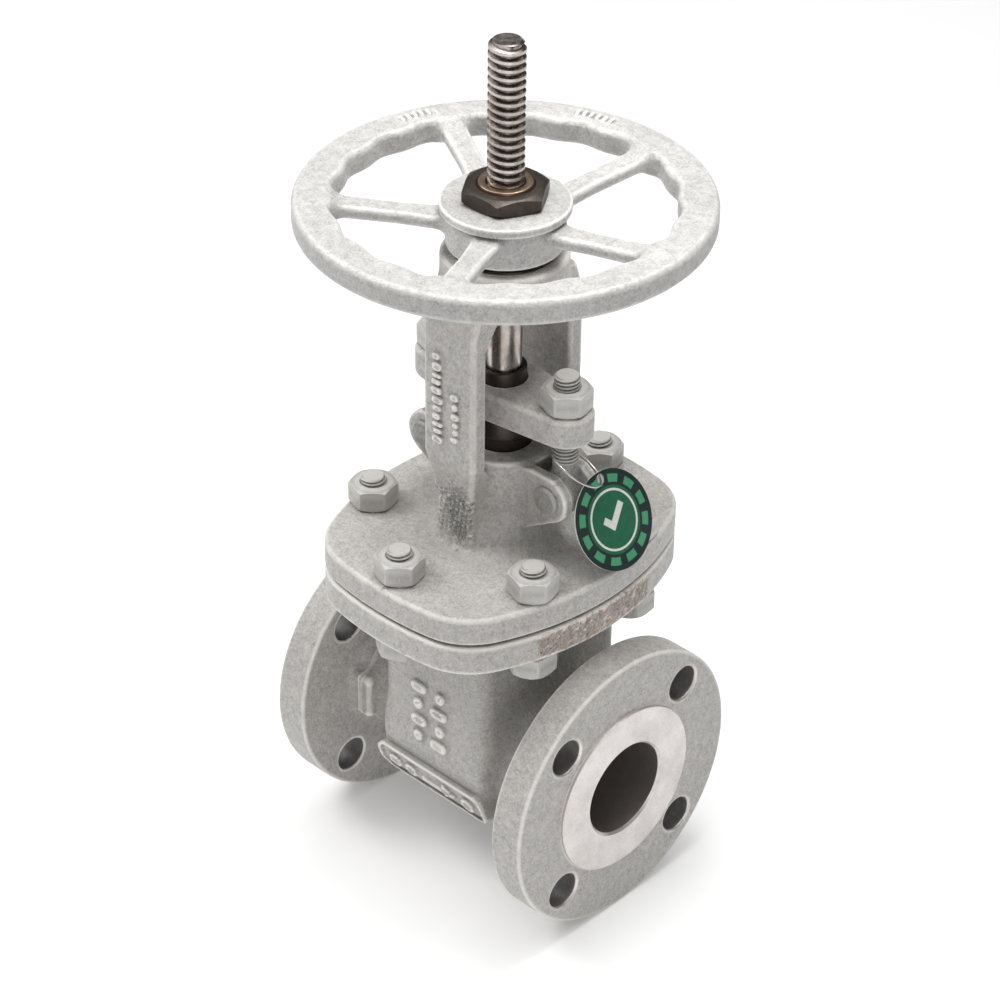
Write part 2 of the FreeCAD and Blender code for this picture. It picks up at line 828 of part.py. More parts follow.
def make_gland_flange():
    """A plate with a round boss in the middle, tapering along tangents to two round ends."""
    bottom = D["gland_flange_bottom"]
    height = D["gland_flange_top"] - bottom
    big = D["gland_centre_radius"]
    small = D["gland_end_radius"]
    reach = D["ear_pin_x"]
    lean = (big - small) / reach
    level = root(Size(1.0, "1") - lean * lean)
    near = (big * lean, big * level)
    far = (reach + small * lean, small * level)
    web = plate(
        "GlandWeb",
        "XY_Plane",
        [
            (near[0], near[1]),
            (far[0], far[1]),
            (far[0], -far[1]),
            (near[0], -near[1]),
            (-near[0], -near[1]),
            (-far[0], -far[1]),
            (-far[0], far[1]),
            (-near[0], near[1]),
        ],
        height,
    )
    place(web, 0.0, 0.0, bottom + height / 2)
    blank = fuse(
        "GlandBlank",
        web,
        cylinder("GlandCentre", big, height, 0.0, 0.0, bottom),
        cylinder("GlandEndOut", small, height, reach, 0.0, bottom),
        cylinder("GlandEndIn", small, height, -reach, 0.0, bottom),
    )
    return cut(
        "gland_flange",
        blank,
        cylinder("GlandBore", D["follower_neck_radius"] + D["face_gap"], height + 2, 0.0, 0.0, bottom - 1),
        cylinder("GlandHoleOut", D["gland_hole_radius"], height + 2, reach, 0.0, bottom - 1),
        cylinder("GlandHoleIn", D["gland_hole_radius"], height + 2, -reach, 0.0, bottom - 1),
    )


def make_eyebolts():
    bolts = []
    for name, side in (("EyeboltOut", 1), ("EyeboltIn", -1)):
        x = D["ear_pin_x"] * side
        half = D["eyebolt_eye_half_width"]
        z = D["ear_pin_z"]
        shank = rod_with_chamfers(name + "Shank", D["stud_radius"], D["stud_chamfer"], z, D["eyebolt_top"], x, 0.0)
        flat = box(
            name + "Flats",
            (x - D["stud_radius"] - 4, -half, z - D["eyebolt_eye_radius"] - 2),
            (x + D["stud_radius"] + 4, half, D["eyebolt_top"] + 2),
        )
        eye = cylinder(name + "Eye", D["eyebolt_eye_radius"], half * 2, x, -half, z, ALONG_Y)
        hole = cylinder(name + "Hole", D["pin_radius"] + D["running_gap"], 40.0, x, -20.0, z, ALONG_Y)
        bolts.append(cut(name, fuse(name + "Blank", common(name + "Rod", shank, flat), eye), hole))
    return group("eyebolts", *bolts)


def make_pins():
    pins = []
    for name, side in (("PinOut", 1), ("PinIn", -1)):
        x = D["ear_pin_x"] * side
        z = D["ear_pin_z"]
        reach = D["pin_reach"]
        height = D["pin_head_height"]
        rod = cylinder(name + "Rod", D["pin_radius"] - 0.03, reach * 2, x, -reach, z, ALONG_Y)
        near_head = cone(
            name + "Head", D["pin_head_radius"] - 1.2, D["pin_head_radius"], height,
            x, -reach - height, z, ALONG_Y,
        )
        far_head = cone(
            name + "Tail", D["pin_head_radius"], D["pin_head_radius"] - 1.2, height, x, reach, z, ALONG_Y
        )
        pins.append(fuse(name, rod, near_head, far_head))
    return group("eyebolt_pins", *pins)


def make_gland_nuts():
    nuts = [
        hexagon_nut(
            name, D["nut_corner_radius"], D["nut_chamfer"], D["nut_height"],
            D["stud_radius"] + D["running_gap"], D["ear_pin_x"] * side, 0.0, D["gland_flange_top"],
            D["upper_nut_corner_angle"],
        )
        for name, side in (("GlandNutOut", 1), ("GlandNutIn", -1))
    ]
    return group("gland_nuts", *nuts)


# Stem nut, bearings and handwheel --------------------------------------------------------------


def keyway_box(name, grow):
    """The key's own block, or the slot for it when grown."""
    half = D["key_width"] / 2 + grow
    inner = D["drive_radius"] - D["key_depth"] - grow
    outer = D["drive_radius"] + D["key_depth"] + grow
    bottom = D["hub_bottom"] + 2 - grow
    return box(name, (inner, -half, bottom), (outer, half, bottom + D["key_length"] + grow * 2))


def make_stem_nut():
    """The sleeve that turns in the yoke hub and carries the stem on its thread."""
    bore = D["stem_radius"] + D["running_gap"]
    journal = D["sleeve_journal_radius"]
    floor = D["yoke_pocket_floor"] + D["thrust_washer_height"] + 0.1
    collar_top = floor + D["sleeve_collar_height"] - 0.2
    hub_bottom = D["hub_bottom"]
    drive = D["drive_radius"]
    thread = D["drive_thread_radius"]
    profile = [
        (bore, D["sleeve_bottom"]),
        (journal, D["sleeve_bottom"]),
        (journal, floor),
        (D["sleeve_collar_radius"], floor),
        (D["sleeve_collar_radius"], collar_top),
        (journal, collar_top),
        (journal, hub_bottom - 0.3),
        (drive, hub_bottom - 0.3),
        (drive, D["hub_top"]),
        (thread, D["hub_top"]),
        (thread, D["sleeve_top"] - 1),
        (thread - 1, D["sleeve_top"]),
        (bore + 1.5, D["sleeve_top"]),
        (bore, D["sleeve_top"] - 1.5),
    ]
    blank = turned("StemNutTurned", profile)
    return cut("stem_nut", blank, keyway_box("StemNutKeyway", 0.02))


def make_thrust_washer(name, bottom):
    inner = D["sleeve_journal_radius"] + D["face_gap"]
    return ring(name, inner, D["thrust_washer_outer"], bottom, bottom + D["thrust_washer_height"])


def make_yoke_cap():
    bottom = D["yoke_pocket_floor"] + D["thrust_washer_height"] * 2 + D["sleeve_collar_height"]
    top = bottom + D["cap_height"]
    inner = D["sleeve_journal_radius"] + D["running_gap"]
    outer = D["yoke_pocket_radius"]
    profile = [
        (inner, bottom),
        (outer, bottom),
        (outer, top - 1),
        (outer - 1, top),
        (inner, top),
    ]
    return turned("yoke_cap", profile)


def make_handwheel():
    top = D["hub_top"]
    low = D["hub_bottom"]
    bore = D["drive_radius"] + 0.02
    edge = D["hub_edge"]
    hub = turned(
        "WheelHub",
        [
            (bore, low),
            (D["hub_bottom_radius"] - edge, low),
            (D["hub_bottom_radius"], low + edge),
            (D["hub_bottom_radius"], top - D["hub_lip"] - 1),
            (D["hub_top_radius"], top - D["hub_lip"]),
            (D["hub_top_radius"], top - edge),
            (D["hub_top_radius"] - edge, top),
            (bore, top),
        ],
    )
    outer = D["wheel_radius"]
    inner = D["rim_inner_radius"]
    high = D["rim_top"]
    bottom = high - D["rim_height"]
    soft = D["rim_edge"]
    rim = turned(
        "WheelRim",
        [
            (inner, bottom + soft),
            (inner + soft, bottom),
            (outer - soft, bottom),
            (outer, bottom + soft),
            (outer, high - soft),
            (outer - soft, high),
            (inner + soft, high),
            (inner, high - soft),
        ],
    )
    hub_end = D["hub_bottom_radius"] - 4
    rim_end = inner + 4
    thick = D["spoke_thickness"]
    spoke_side = [
        (hub_end, D["spoke_hub_top"] - thick),
        (rim_end, D["spoke_rim_top"] - thick),
        (rim_end, D["spoke_rim_top"]),
        (hub_end, D["spoke_hub_top"]),
    ]
    spokes = []
    for i in range(SPOKES):
        spoke = plate("Spoke%d" % i, "XZ_Plane", spoke_side, D["spoke_width"])
        spin = D["spoke_angle"] + i * 360.0 / SPOKES
        spoke.Placement = FreeCAD.Placement(
            FreeCAD.Vector(), FreeCAD.Rotation(FreeCAD.Vector(0, 0, 1), spin.value)
        )
        spoke.setExpression("Placement.Rotation.Angle", spin.text)
        spokes.append(spoke)
    slotted_hub = cut("SlottedHub", hub, keyway_box("WheelKeyway", 0.02))
    return fuse("handwheel", slotted_hub, rim, *spokes)


def make_lock_nut():
    return hexagon_nut(
        "handwheel_nut", D["lock_nut_corner_radius"], D["lock_nut_chamfer"], D["lock_nut_height"],
        D["drive_thread_radius"] + D["running_gap"], 0.0, 0.0, D["hub_top"], D["lock_nut_corner_angle"],
    )


# Hang tag --------------------------------------------------------------------------------------


def make_tag():
    """A round card hung by a hole near its top, leaning outwards at its foot."""
    lean = FreeCAD.Rotation(FreeCAD.Vector(0, 1, 0), 90.0 - SIZES["tag_tilt"])
    normal = lean.multVec(FreeCAD.Vector(0, 0, 1))
    upward = lean.multVec(FreeCAD.Vector(-1, 0, 0))
    half = D["tag_thickness"] / 2

    def shifted(along, up):
        return (
            D["tag_x"] - along * normal.x + up * upward.x,
            D["tag_y"],
            D["tag_z"] - along * normal.z + up * upward.z,
        )

    disc = doc.addObject("Part::Cylinder", "TagDisc")
    bind(disc, "Radius", D["tag_radius"])
    bind(disc, "Height", D["tag_thickness"])
    place(disc, *shifted(half, 0.0 * half), lean)
    hole = doc.addObject("Part::Cylinder", "TagHole")
    bind(hole, "Radius", D["tag_hole_radius"])
    bind(hole, "Height", D["tag_thickness"] * 4)
    place(hole, *shifted(half * 4, D["tag_hole_reach"]), lean)
    return cut("tag_disc", disc, hole)


def make_tag_ring():
    """A closed wire ring round the outlet side's eyebolt and through the tag's hole."""
    loop = doc.addObject("Part::Torus", "tag_ring")
    bind(loop, "Radius1", D["ring_radius"])
    bind(loop, "Radius2", D["ring_wire_radius"])
    along = FreeCAD.Vector(0.496, 0.643, -0.582)
    across = FreeCAD.Vector(-0.79, 0.61, 0.0)
    axis = along.cross(across)
    turn = FreeCAD.Rotation(FreeCAD.Vector(0, 0, 1), axis)
    return place(loop, D["ring_x"], D["ring_y"], D["ring_z"], turn)


washer_floor = D["yoke_pocket_floor"]
upper_washer_floor = washer_floor + D["thrust_washer_height"] + D["sleeve_collar_height"]

nodes["body"] = make_body()
nodes["seat_ring_inlet"] = make_seat_ring("seat_ring_inlet", -1)
nodes["seat_ring_outlet"] = make_seat_ring("seat_ring_outlet", 1)
nodes["wedge"] = make_wedge()
nodes["stem"] = make_stem()
nodes["bonnet_gasket"] = make_gasket()
nodes["bonnet"] = make_bonnet()
nodes["bonnet_studs"] = make_studs()
nodes["bonnet_nuts_upper"] = make_stud_nuts(
    "bonnet_nuts_upper", D["bonnet_flange_top"], D["upper_nut_corner_angle"]
)
nodes["bonnet_nuts_lower"] = make_stud_nuts(
    "bonnet_nuts_lower", D["body_flange_bottom"] - D["nut_height"], D["lower_nut_corner_angle"]
)
nodes["backseat_bushing"] = make_backseat()
nodes["packing_rings"] = make_packing()
nodes["gland_follower"] = make_follower()
nodes["gland_flange"] = make_gland_flange()
nodes["eyebolts"] = make_eyebolts()
nodes["eyebolt_pins"] = make_pins()
nodes["gland_nuts"] = make_gland_nuts()
nodes["stem_nut"] = make_stem_nut()
nodes["thrust_washer_lower"] = make_thrust_washer("thrust_washer_lower", washer_floor)
nodes["thrust_washer_upper"] = make_thrust_washer("thrust_washer_upper", upper_washer_floor)
nodes["yoke_cap"] = make_yoke_cap()
nodes["handwheel"] = make_handwheel()
nodes["handwheel_nut"] = make_lock_nut()
nodes["handwheel_key"] = keyway_box("handwheel_key", 0.0)
nodes["tag_disc"] = make_tag()
nodes["tag_ring"] = make_tag_ring()

doc.recompute()

for thing in doc.Objects:
    if "Invalid" in thing.State or "Error" in thing.State:
        raise RuntimeError("%s failed to recompute" % thing.Name)

os.makedirs("parts", exist_ok=True)
for name, node in nodes.items():
    node.Label = name
    shape = node.Shape
    if shape.isNull() or not shape.isValid():
        raise RuntimeError("%s has no valid shape" % name)
    shape.exportStep(os.path.join("parts", name + ".step"))
    print("%-20s solids %d volume %.0f mm3" % (name, len(shape.Solids), shape.Volume))
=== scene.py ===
"""Looks of the gate valve: cast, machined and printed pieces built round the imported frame."""

import functools
import math

import bmesh
import bpy
import numpy as np
from mathutils import Matrix, Vector


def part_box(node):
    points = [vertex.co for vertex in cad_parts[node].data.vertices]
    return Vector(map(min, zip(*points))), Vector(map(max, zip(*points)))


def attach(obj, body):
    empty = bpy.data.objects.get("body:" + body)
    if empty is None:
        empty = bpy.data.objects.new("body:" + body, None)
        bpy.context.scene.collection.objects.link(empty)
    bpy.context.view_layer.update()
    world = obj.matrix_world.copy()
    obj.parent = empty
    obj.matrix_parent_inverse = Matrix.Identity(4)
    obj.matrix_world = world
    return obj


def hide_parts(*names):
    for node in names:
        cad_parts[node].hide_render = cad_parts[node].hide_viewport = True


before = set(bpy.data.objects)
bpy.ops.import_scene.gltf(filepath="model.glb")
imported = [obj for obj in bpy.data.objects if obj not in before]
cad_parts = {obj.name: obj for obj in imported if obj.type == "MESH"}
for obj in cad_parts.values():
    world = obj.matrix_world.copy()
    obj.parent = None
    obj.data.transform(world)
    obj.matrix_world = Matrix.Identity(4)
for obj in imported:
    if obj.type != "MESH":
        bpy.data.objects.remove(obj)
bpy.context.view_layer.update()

MM = 0.001


def span(node):
    """A node's lowest and highest corners, in millimetres."""
    low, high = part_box(node)
    return np.array(low) / MM, np.array(high) / MM


def heights(node):
    """The heights of a node's foot and top."""
    low, high = span(node)
    return low[2], high[2]


# Sizes taken from the frame, in millimetres ------------------------------------------------------

BODY_LOW, BODY_HIGH = span("body")
BONNET_LOW, BONNET_HIGH = span("bonnet")
GLAND_FOOT, GLAND_TOP = heights("gland_flange")
UPPER_NUTS_FOOT, UPPER_NUTS_TOP = heights("bonnet_nuts_upper")
LOWER_NUTS_FOOT, LOWER_NUTS_TOP = heights("bonnet_nuts_lower")
STUDS_FOOT, STUDS_TOP = heights("bonnet_studs")
GLAND_NUTS_FOOT, GLAND_NUTS_TOP = heights("gland_nuts")
LOCK_NUT_FOOT, LOCK_NUT_TOP = heights("handwheel_nut")
SLEEVE_FOOT, SLEEVE_TOP = heights("stem_nut")
FOLLOWER_FOOT, FOLLOWER_TOP = heights("gland_follower")
CAP_FOOT, CAP_TOP = heights("yoke_cap")
STEM_FOOT, STEM_TOP = heights("stem")
EYEBOLTS_TOP = heights("eyebolts")[1]
PIN_HALF = span("eyebolt_pins")[1][1]
SEAT_END, SEAT_R = span("seat_ring_outlet")[1][:2]
WHEEL_R = span("handwheel")[1][0]
HUB_LOW = heights("handwheel")[0]

HALF_RUN = BODY_HIGH[0]
FLANGE_R = -BODY_LOW[2]
OVAL_X, OVAL_Y, YOKE_TOP = BONNET_HIGH
JOINT_LOW = BODY_HIGH[2]
JOINT_HIGH = BONNET_LOW[2]
PLATE_TOP = UPPER_NUTS_FOOT
FLANGE_UNDER = LOWER_NUTS_TOP
HUB_TOP = LOCK_NUT_FOOT

# Sizes of the design that no node's box gives, in millimetres -------------------------------------

# End flanges and body
BORE_R = 25.4
RAISED_R = 46.05
RAISED_STEP = 1.6
FLANGE_THICK = 19.0
BOLT_CIRCLE_R = 60.325
BOLT_HOLE_R = 9.525
NOZZLE_R = 36.0
NOZZLE_END = 80.0
DRUM_R = 50.5
DRUM_HALF = 36.5
NECK_HALF = 50.0
NECK_TOP = 98.0
CAVITY_HALF = 22.0
CAVITY_R = 43.4
SEAT_GAP = 0.25
FLANGE_FACE = HALF_RUN - RAISED_STEP
FLANGE_BACK = FLANGE_FACE - FLANGE_THICK
BOLT_OFF = BOLT_CIRCLE_R * math.sqrt(0.5)

# Oval joint and its fasteners
SIDE_ARC = 151.0
END_ARC = 190.0
CORNER_R = 45.0
STUD_R = 6.35
STUD_HOLE_R = 7.2
STUD_PITCH = 1.954
STUD_DEPTH = 0.75
STUD_CHAMFER = 1.1
STUD_PLACES = [(0, 71), (0, -71), (55.5, 35.5), (55.5, -35.5), (-55.5, 35.5), (-55.5, -35.5)]
NUT_FLATS_R = 11.1
NUT_WASHER = 0.5
UPPER_NUT_TURN = math.radians(14.0)

# Bonnet: stuffing box, eyebolt ears and yoke
STUFFING_R = 25.5
STUFFING_TOP = 171.0
BOX_FLOOR = 134.0
EAR_X = 42.0
EAR_Z = 159.0
EAR_R = 12.0
EAR_OUT = 12.5
EAR_IN = 6.7
YOKE_HUB_R = 31.0
YOKE_HUB_LOW = 254.0
YOKE_POCKET_R = 25.0
YOKE_POCKET_FLOOR = 262.0

# Stem, handwheel and its lock nut
STEM_R = 8.9
THREAD_START = 252.0
THREAD_PITCH = 4.2333
THREAD_DEPTH = 2.1
THREAD_LAND = 0.34
RIM_INNER = 80.5
SPOKE_COUNT = 5
SPOKE_ANGLE = 8.8
SLEEVE_R = 15.3
LOCK_NUT_TURN = math.radians(33.6)
LOCK_NUT_FLATS_R = 19.0
LOCK_NUT_BORE_R = 13.3

# Hang tag
TAG_TILT = math.radians(27.1)
TAG_HOLE_UP = 21.4
TAG_HOLE_R = 2.2
TAG_HALF_THICK = 0.3
TAG_CURL = 0.25
RING_R = 14.9
RING_WIRE_R = 0.6


# Distance fields ---------------------------------------------------------------------------------


def smooth_min(a, b, k):
    """The nearer of two surfaces, with a fillet of about k where they meet."""
    h = np.maximum(k - np.abs(a - b), 0.0) / k
    return np.minimum(a, b) - h * h * k * 0.25


def smooth_max(a, b, k):
    return -smooth_min(-a, -b, k)


def all_of(*shapes):
    """What lies inside every one of the shapes."""
    return functools.reduce(np.maximum, shapes)


def without(solid, *holes):
    """A solid with holes cut out of it."""
    return all_of(solid, *(-hole for hole in holes))


def filleted(solid, *parts):
    """A solid with shapes added one after another, each as (shape, fillet)."""
    for shape, fillet in parts:
        solid = smooth_min(solid, shape, fillet)
    return solid


def rounded_rect(u, v, half_u, half_v, r):
    """Distance to a rectangle about the origin with corners of radius r."""
    du = np.abs(u) - half_u + r
    dv = np.abs(v) - half_v + r
    outside = np.hypot(np.maximum(du, 0.0), np.maximum(dv, 0.0))
    return outside + np.minimum(np.maximum(du, dv), 0.0) - r


def rounded_box(x, y, z, half, r):
    d = [np.abs(c) - h + r for c, h in zip((x, y, z), half)]
    outside = np.sqrt(sum(np.maximum(c, 0.0) ** 2 for c in d))
    return outside + np.minimum(np.maximum(np.maximum(d[0], d[1]), d[2]), 0.0) - r


def disc(radial, along, radius, low, high, r):
    """A round plate from low to high along its axis, with edges of radius r."""
    middle = (low + high) / 2
    return rounded_rect(radial, along - middle, radius, (high - low) / 2, r)


def slab(flat, along, low, high, r):
    """A flat outline given thickness, its edges rounded by r."""
    a = flat + r
    b = np.abs(along - (low + high) / 2) - (high - low) / 2 + r
    outside = np.hypot(np.maximum(a, 0.0), np.maximum(b, 0.0))
    return outside + np.minimum(np.maximum(a, b), 0.0) - r


def polygon(u, v, corners):
    """Signed distance to a closed polygon."""
    best = np.full(np.shape(u), 1e9)
    sign = np.ones(np.shape(u))
    count = len(corners)
    for i in range(count):
        au, av = corners[i]
        bu, bv = corners[i - 1]
        eu, ev = bu - au, bv - av
        wu, wv = u - au, v - av
        t = np.clip((wu * eu + wv * ev) / (eu * eu + ev * ev), 0.0, 1.0)
        best = np.minimum(best, (wu - eu * t) ** 2 + (wv - ev * t) ** 2)
        above = v >= av
        below = v < bv
        left = eu * wv > ev * wu
        flip = (above & below & left) | (~above & ~below & ~left)
        sign = np.where(flip, -sign, sign)
    return sign * np.sqrt(best)


def oval_outline(x, y, inset=0.0):
    """The bonnet joint's oval: two side arcs, two end arcs and rounded corners."""
    ax, ay = np.abs(x), np.abs(y)
    side_x = ax + SIDE_ARC - OVAL_X
    end_y = ay + END_ARC - OVAL_Y
    side_r = np.hypot(side_x, ay)
    end_r = np.hypot(ax, end_y)
    a = side_r - SIDE_ARC + inset + CORNER_R
    b = end_r - END_ARC + inset + CORNER_R
    c = np.clip((side_x * ax + ay * end_y) / (side_r * end_r), -0.99, 0.99)
    corner = np.sqrt(np.maximum(a * a + b * b - 2 * a * b * c, 0.0) / (1 - c * c))
    in_corner = (a > c * b) & (b > c * a)
    return np.where(in_corner, corner, np.maximum(a, b)) - CORNER_R


def capsule_chain(x, y, circles):
    """A flat outline hulled over circles of (x, radius) along the x axis, mirrored."""
    (x0, r0), (x1, r1) = circles
    ax = np.abs(x)
    run = x1 - x0
    k = (r0 - r1) / run
    level = math.sqrt(1 - k * k)
    px, py = ax - x0, np.abs(y)
    along = px * level - py * k
    near = np.hypot(px, py) - r0
    far = np.hypot(px - run, py) - r1
    between = px * k + py * level - r0
    return np.where(along < 0, near, np.where(along > level * run, far, between))


# Meshing -----------------------------------------------------------------------------------------

BLOCK = 6


def grid_values(field, low, counts, cell):
    """The field on a grid. Blocks that the surface can't reach are only given their sign."""
    blocks = [-(-n // BLOCK) for n in counts]
    centres = [low[a] + (np.arange(blocks[a]) + 0.5) * BLOCK * cell for a in range(3)]
    bx, by, bz = np.meshgrid(*centres, indexing="ij")
    coarse = field(bx, by, bz)
    reach = BLOCK * cell * 0.5 * math.sqrt(3) * 1.25 + cell
    values = np.repeat(np.repeat(np.repeat(coarse, BLOCK, 0), BLOCK, 1), BLOCK, 2).astype(np.float32)
    live = np.argwhere(np.abs(coarse) < reach)
    steps = (np.arange(BLOCK) * cell).reshape(-1)
    sx, sy, sz = np.meshgrid(steps, steps, steps, indexing="ij")
    for start in range(0, len(live), 4000):
        part = live[start : start + 4000]
        corner = np.array(low) + part * BLOCK * cell
        x = corner[:, 0, None, None, None] + sx
        y = corner[:, 1, None, None, None] + sy
        z = corner[:, 2, None, None, None] + sz
        fine = field(x, y, z)
        tall = values.reshape(blocks[0], BLOCK, blocks[1], BLOCK, blocks[2], BLOCK)
        tall[part[:, 0], :, part[:, 1], :, part[:, 2], :] = fine
    return values


def slope_of(field, x, y, z, step=0.02):
    """The field's slope at points."""
    rises = [field(x + i, y + j, z + k) - field(x - i, y - j, z - k) for i, j, k in step * np.eye(3)]
    return np.stack(rises, 1) / (2 * step)


def surface_of(field, low, high, cell):
    """Vertices and quads of the surface where the field is zero.

    Each crossed cell gets one vertex, where the planes through its crossings meet, so that
    hard edges stay hard.
    """
    low = np.array(low, float) - 2 * cell + 0.137 * cell
    counts = [int(math.ceil((high[a] - low[a]) / cell)) + 3 for a in range(3)]
    values = grid_values(field, low, counts, cell)
    inside = values < 0
    shape = [n - 1 for n in inside.shape]
    corners = [(i, j, k) for i in (0, 1) for j in (0, 1) for k in (0, 1)]
    total = np.zeros(shape, np.uint8)
    for i, j, k in corners:
        total += inside[i : i + shape[0], j : j + shape[1], k : k + shape[2]]
    cells = np.argwhere((total > 0) & (total < 8))
    number = np.full(shape, -1, np.int32)
    number[tuple(cells.T)] = np.arange(len(cells))
    matrix = np.zeros((len(cells), 3, 3))
    right = np.zeros((len(cells), 3))
    middle = np.zeros((len(cells), 3))
    crossed = np.zeros(len(cells))
    quads = []
    for axis in range(3):
        u, v = [a for a in range(3) if a != axis]
        here = [slice(0, n + 1) for n in shape]
        there = [slice(0, n + 1) for n in shape]
        here[axis] = slice(0, shape[axis])
        there[axis] = slice(1, shape[axis] + 1)
        a = inside[tuple(here)]
        b = inside[tuple(there)]
        edge = np.argwhere(a != b)
        start = low + edge * cell
        d0 = values[tuple(edge.T)].astype(float)
        step = edge.copy()
        step[:, axis] += 1
        d1 = values[tuple(step.T)].astype(float)
        t0 = np.zeros(len(edge))
        t1 = np.ones(len(edge))
        for _ in range(4):
            t = np.clip(t0 + (t1 - t0) * d0 / (d0 - d1), 0.0, 1.0)
            point = start.copy()
            point[:, axis] += t * cell
            d = field(*point.T)
            same = (d < 0) == (d0 < 0)
            t0, d0 = np.where(same, t, t0), np.where(same, d, d0)
            t1, d1 = np.where(same, t1, t), np.where(same, d1, d)
            d1 = np.where(d0 == d1, d1 + 1e-9, d1)
        slope = slope_of(field, *point.T)
        normal = slope / np.maximum(np.linalg.norm(slope, axis=1), 1e-9)[:, None]
        outer = normal[:, :, None] * normal[:, None, :]
        push = normal * (normal * point).sum(1)[:, None]
        ring = []
        for du, dv in ((-1, -1), (0, -1), (0, 0), (-1, 0)):
            spot = edge.copy()
            spot[:, u] += du
            spot[:, v] += dv
            valid = (spot >= 0).all(1) & (spot < shape).all(1)
            index = np.full(len(edge), -1)
            index[valid] = number[tuple(spot[valid].T)]
            ring.append(index)
            use = index >= 0
            for r in range(3):
                right[:, r] += np.bincount(index[use], push[use, r], len(cells))
                middle[:, r] += np.bincount(index[use], point[use, r], len(cells))
                for c in range(3):
                    matrix[:, r, c] += np.bincount(index[use], outer[use, r, c], len(cells))
            crossed += np.bincount(index[use], minlength=len(cells))
        face = np.stack(ring, 1)
        out = a[tuple(edge.T)]
        if axis == 1:
            out = ~out
        face = np.where(out[:, None], face, face[:, ::-1])
        quads.append(face[(face >= 0).all(1)])
    middle /= np.maximum(crossed, 1)[:, None]
    hold = 0.06
    matrix += hold * np.eye(3)
    right += hold * middle
    vertices = np.linalg.solve(matrix, right[:, :, None])[:, :, 0]
    centre = low + (cells + 0.5) * cell
    vertices = np.clip(vertices, centre - 0.62 * cell, centre + 0.62 * cell)
    return vertices, np.concatenate(quads)


def settle(field, points, rounds=4):
    """Moves points onto the zero surface along the field's slope."""
    for _ in range(rounds):
        slope = slope_of(field, *points.T)
        size = np.maximum((slope**2).sum(1), 0.25)
        points = points - np.clip(field(*points.T) / size, -1.0, 1.0)[:, None] * slope
    return points


def new_piece(name, vertices, faces, material, smooth=True):
    """A mesh object from points in millimetres."""
    mesh = bpy.data.meshes.new(name)
    mesh.from_pydata((np.asarray(vertices) * MM).tolist(), [], [list(map(int, f)) for f in faces])
    mesh.validate()
    mesh.update()
    piece = bpy.data.objects.new(name, mesh)
    bpy.context.scene.collection.objects.link(piece)
    mesh.materials.append(material)
    if smooth:
        mesh.polygons.foreach_set("use_smooth", [True] * len(mesh.polygons))
    return piece


def cast(name, field, low, high, material, cell):
    """A casting: the mesh of a distance field."""
    vertices, quads = surface_of(field, low, high, cell)
    return new_piece(name, settle(field, vertices), quads, material)


def patch(piece, material, chosen):
    """Gives the faces whose middles, in millimetres, pass a test another material."""
    mesh = piece.data
    mesh.materials.append(material)
    middles = np.empty(len(mesh.polygons) * 3)
    mesh.polygons.foreach_get("center", middles)
    index = np.empty(len(mesh.polygons), np.int32)
    mesh.polygons.foreach_get("material_index", index)
    index[chosen(*(middles.reshape(-1, 3).T / MM))] = len(mesh.materials) - 1
    mesh.polygons.foreach_set("material_index", index)


# Turned, hexagonal and threaded shapes -------------------------------------------------------------


def eased(corners, radii, steps=4):
    """An outline with its corners rounded, each by its own radius (0 keeps it sharp)."""
    points = []
    count = len(corners)
    for i, (corner, r) in enumerate(zip(corners, radii)):
        here = np.array(corner, float)
        if r <= 0:
            points.append(tuple(here))
            continue
        before = np.array(corners[i - 1], float) - here
        after = np.array(corners[(i + 1) % count], float) - here
        before /= np.linalg.norm(before)
        after /= np.linalg.norm(after)
        half = math.acos(float(np.clip(before @ after, -1, 1))) / 2
        reach = r / math.tan(half)
        middle = here + (before + after) / np.linalg.norm(before + after) * r / math.sin(half)
        start = here + before * reach - middle
        end = here + after * reach - middle
        turn = math.pi - 2 * half
        for j in range(steps + 1):
            t = j / steps
            mix = (math.sin((1 - t) * turn) * start + math.sin(t * turn) * end) / math.sin(turn)
            points.append(tuple(middle + mix))
    return points


def turned(profile, segments=96):
    """Points and faces of a closed (radius, height) outline turned about Z."""
    angle = np.arange(segments) * 2 * math.pi / segments
    r, h = np.array(profile, float).T
    ways = ((r, np.cos(angle)), (r, np.sin(angle)), (h, np.ones(segments)))
    points = np.stack([np.outer(*way) for way in ways], -1).reshape(-1, 3)
    count = len(profile)
    faces = []
    for i in range(count):
        j = (i + 1) % count
        if r[i] < 1e-6 and r[j] < 1e-6:
            continue
        for k in range(segments):
            m = (k + 1) % segments
            faces.append((i * segments + k, i * segments + m, j * segments + m, j * segments + k))
    return points, faces


def grid_faces(rows, columns, around=True):
    """Quads of a grid of points, row by row, closed round its columns."""
    i, k = np.meshgrid(np.arange(rows - 1), np.arange(columns if around else columns - 1), indexing="ij")
    m = (k + 1) % columns
    here, above = i * columns, (i + 1) * columns
    return np.stack([here + k, here + m, above + m, above + k], -1).reshape(-1, 4)


def hexagon_radius(angle, flats, corner_r):
    """Distance from the middle to a hexagon's outline with slightly rounded corners."""
    sector = math.pi / 3
    off = np.abs((angle + sector / 2) % sector - sector / 2)
    side = flats / np.cos(off)
    d = (flats - corner_r) / math.cos(sector / 2)
    from_corner = sector / 2 - off
    across = d * np.sin(from_corner)
    rounded = d * np.cos(from_corner) + np.sqrt(np.maximum(corner_r**2 - across**2, 0.0))
    start = math.atan2(d * 0.5, flats)
    return np.where(off > start, rounded, side)


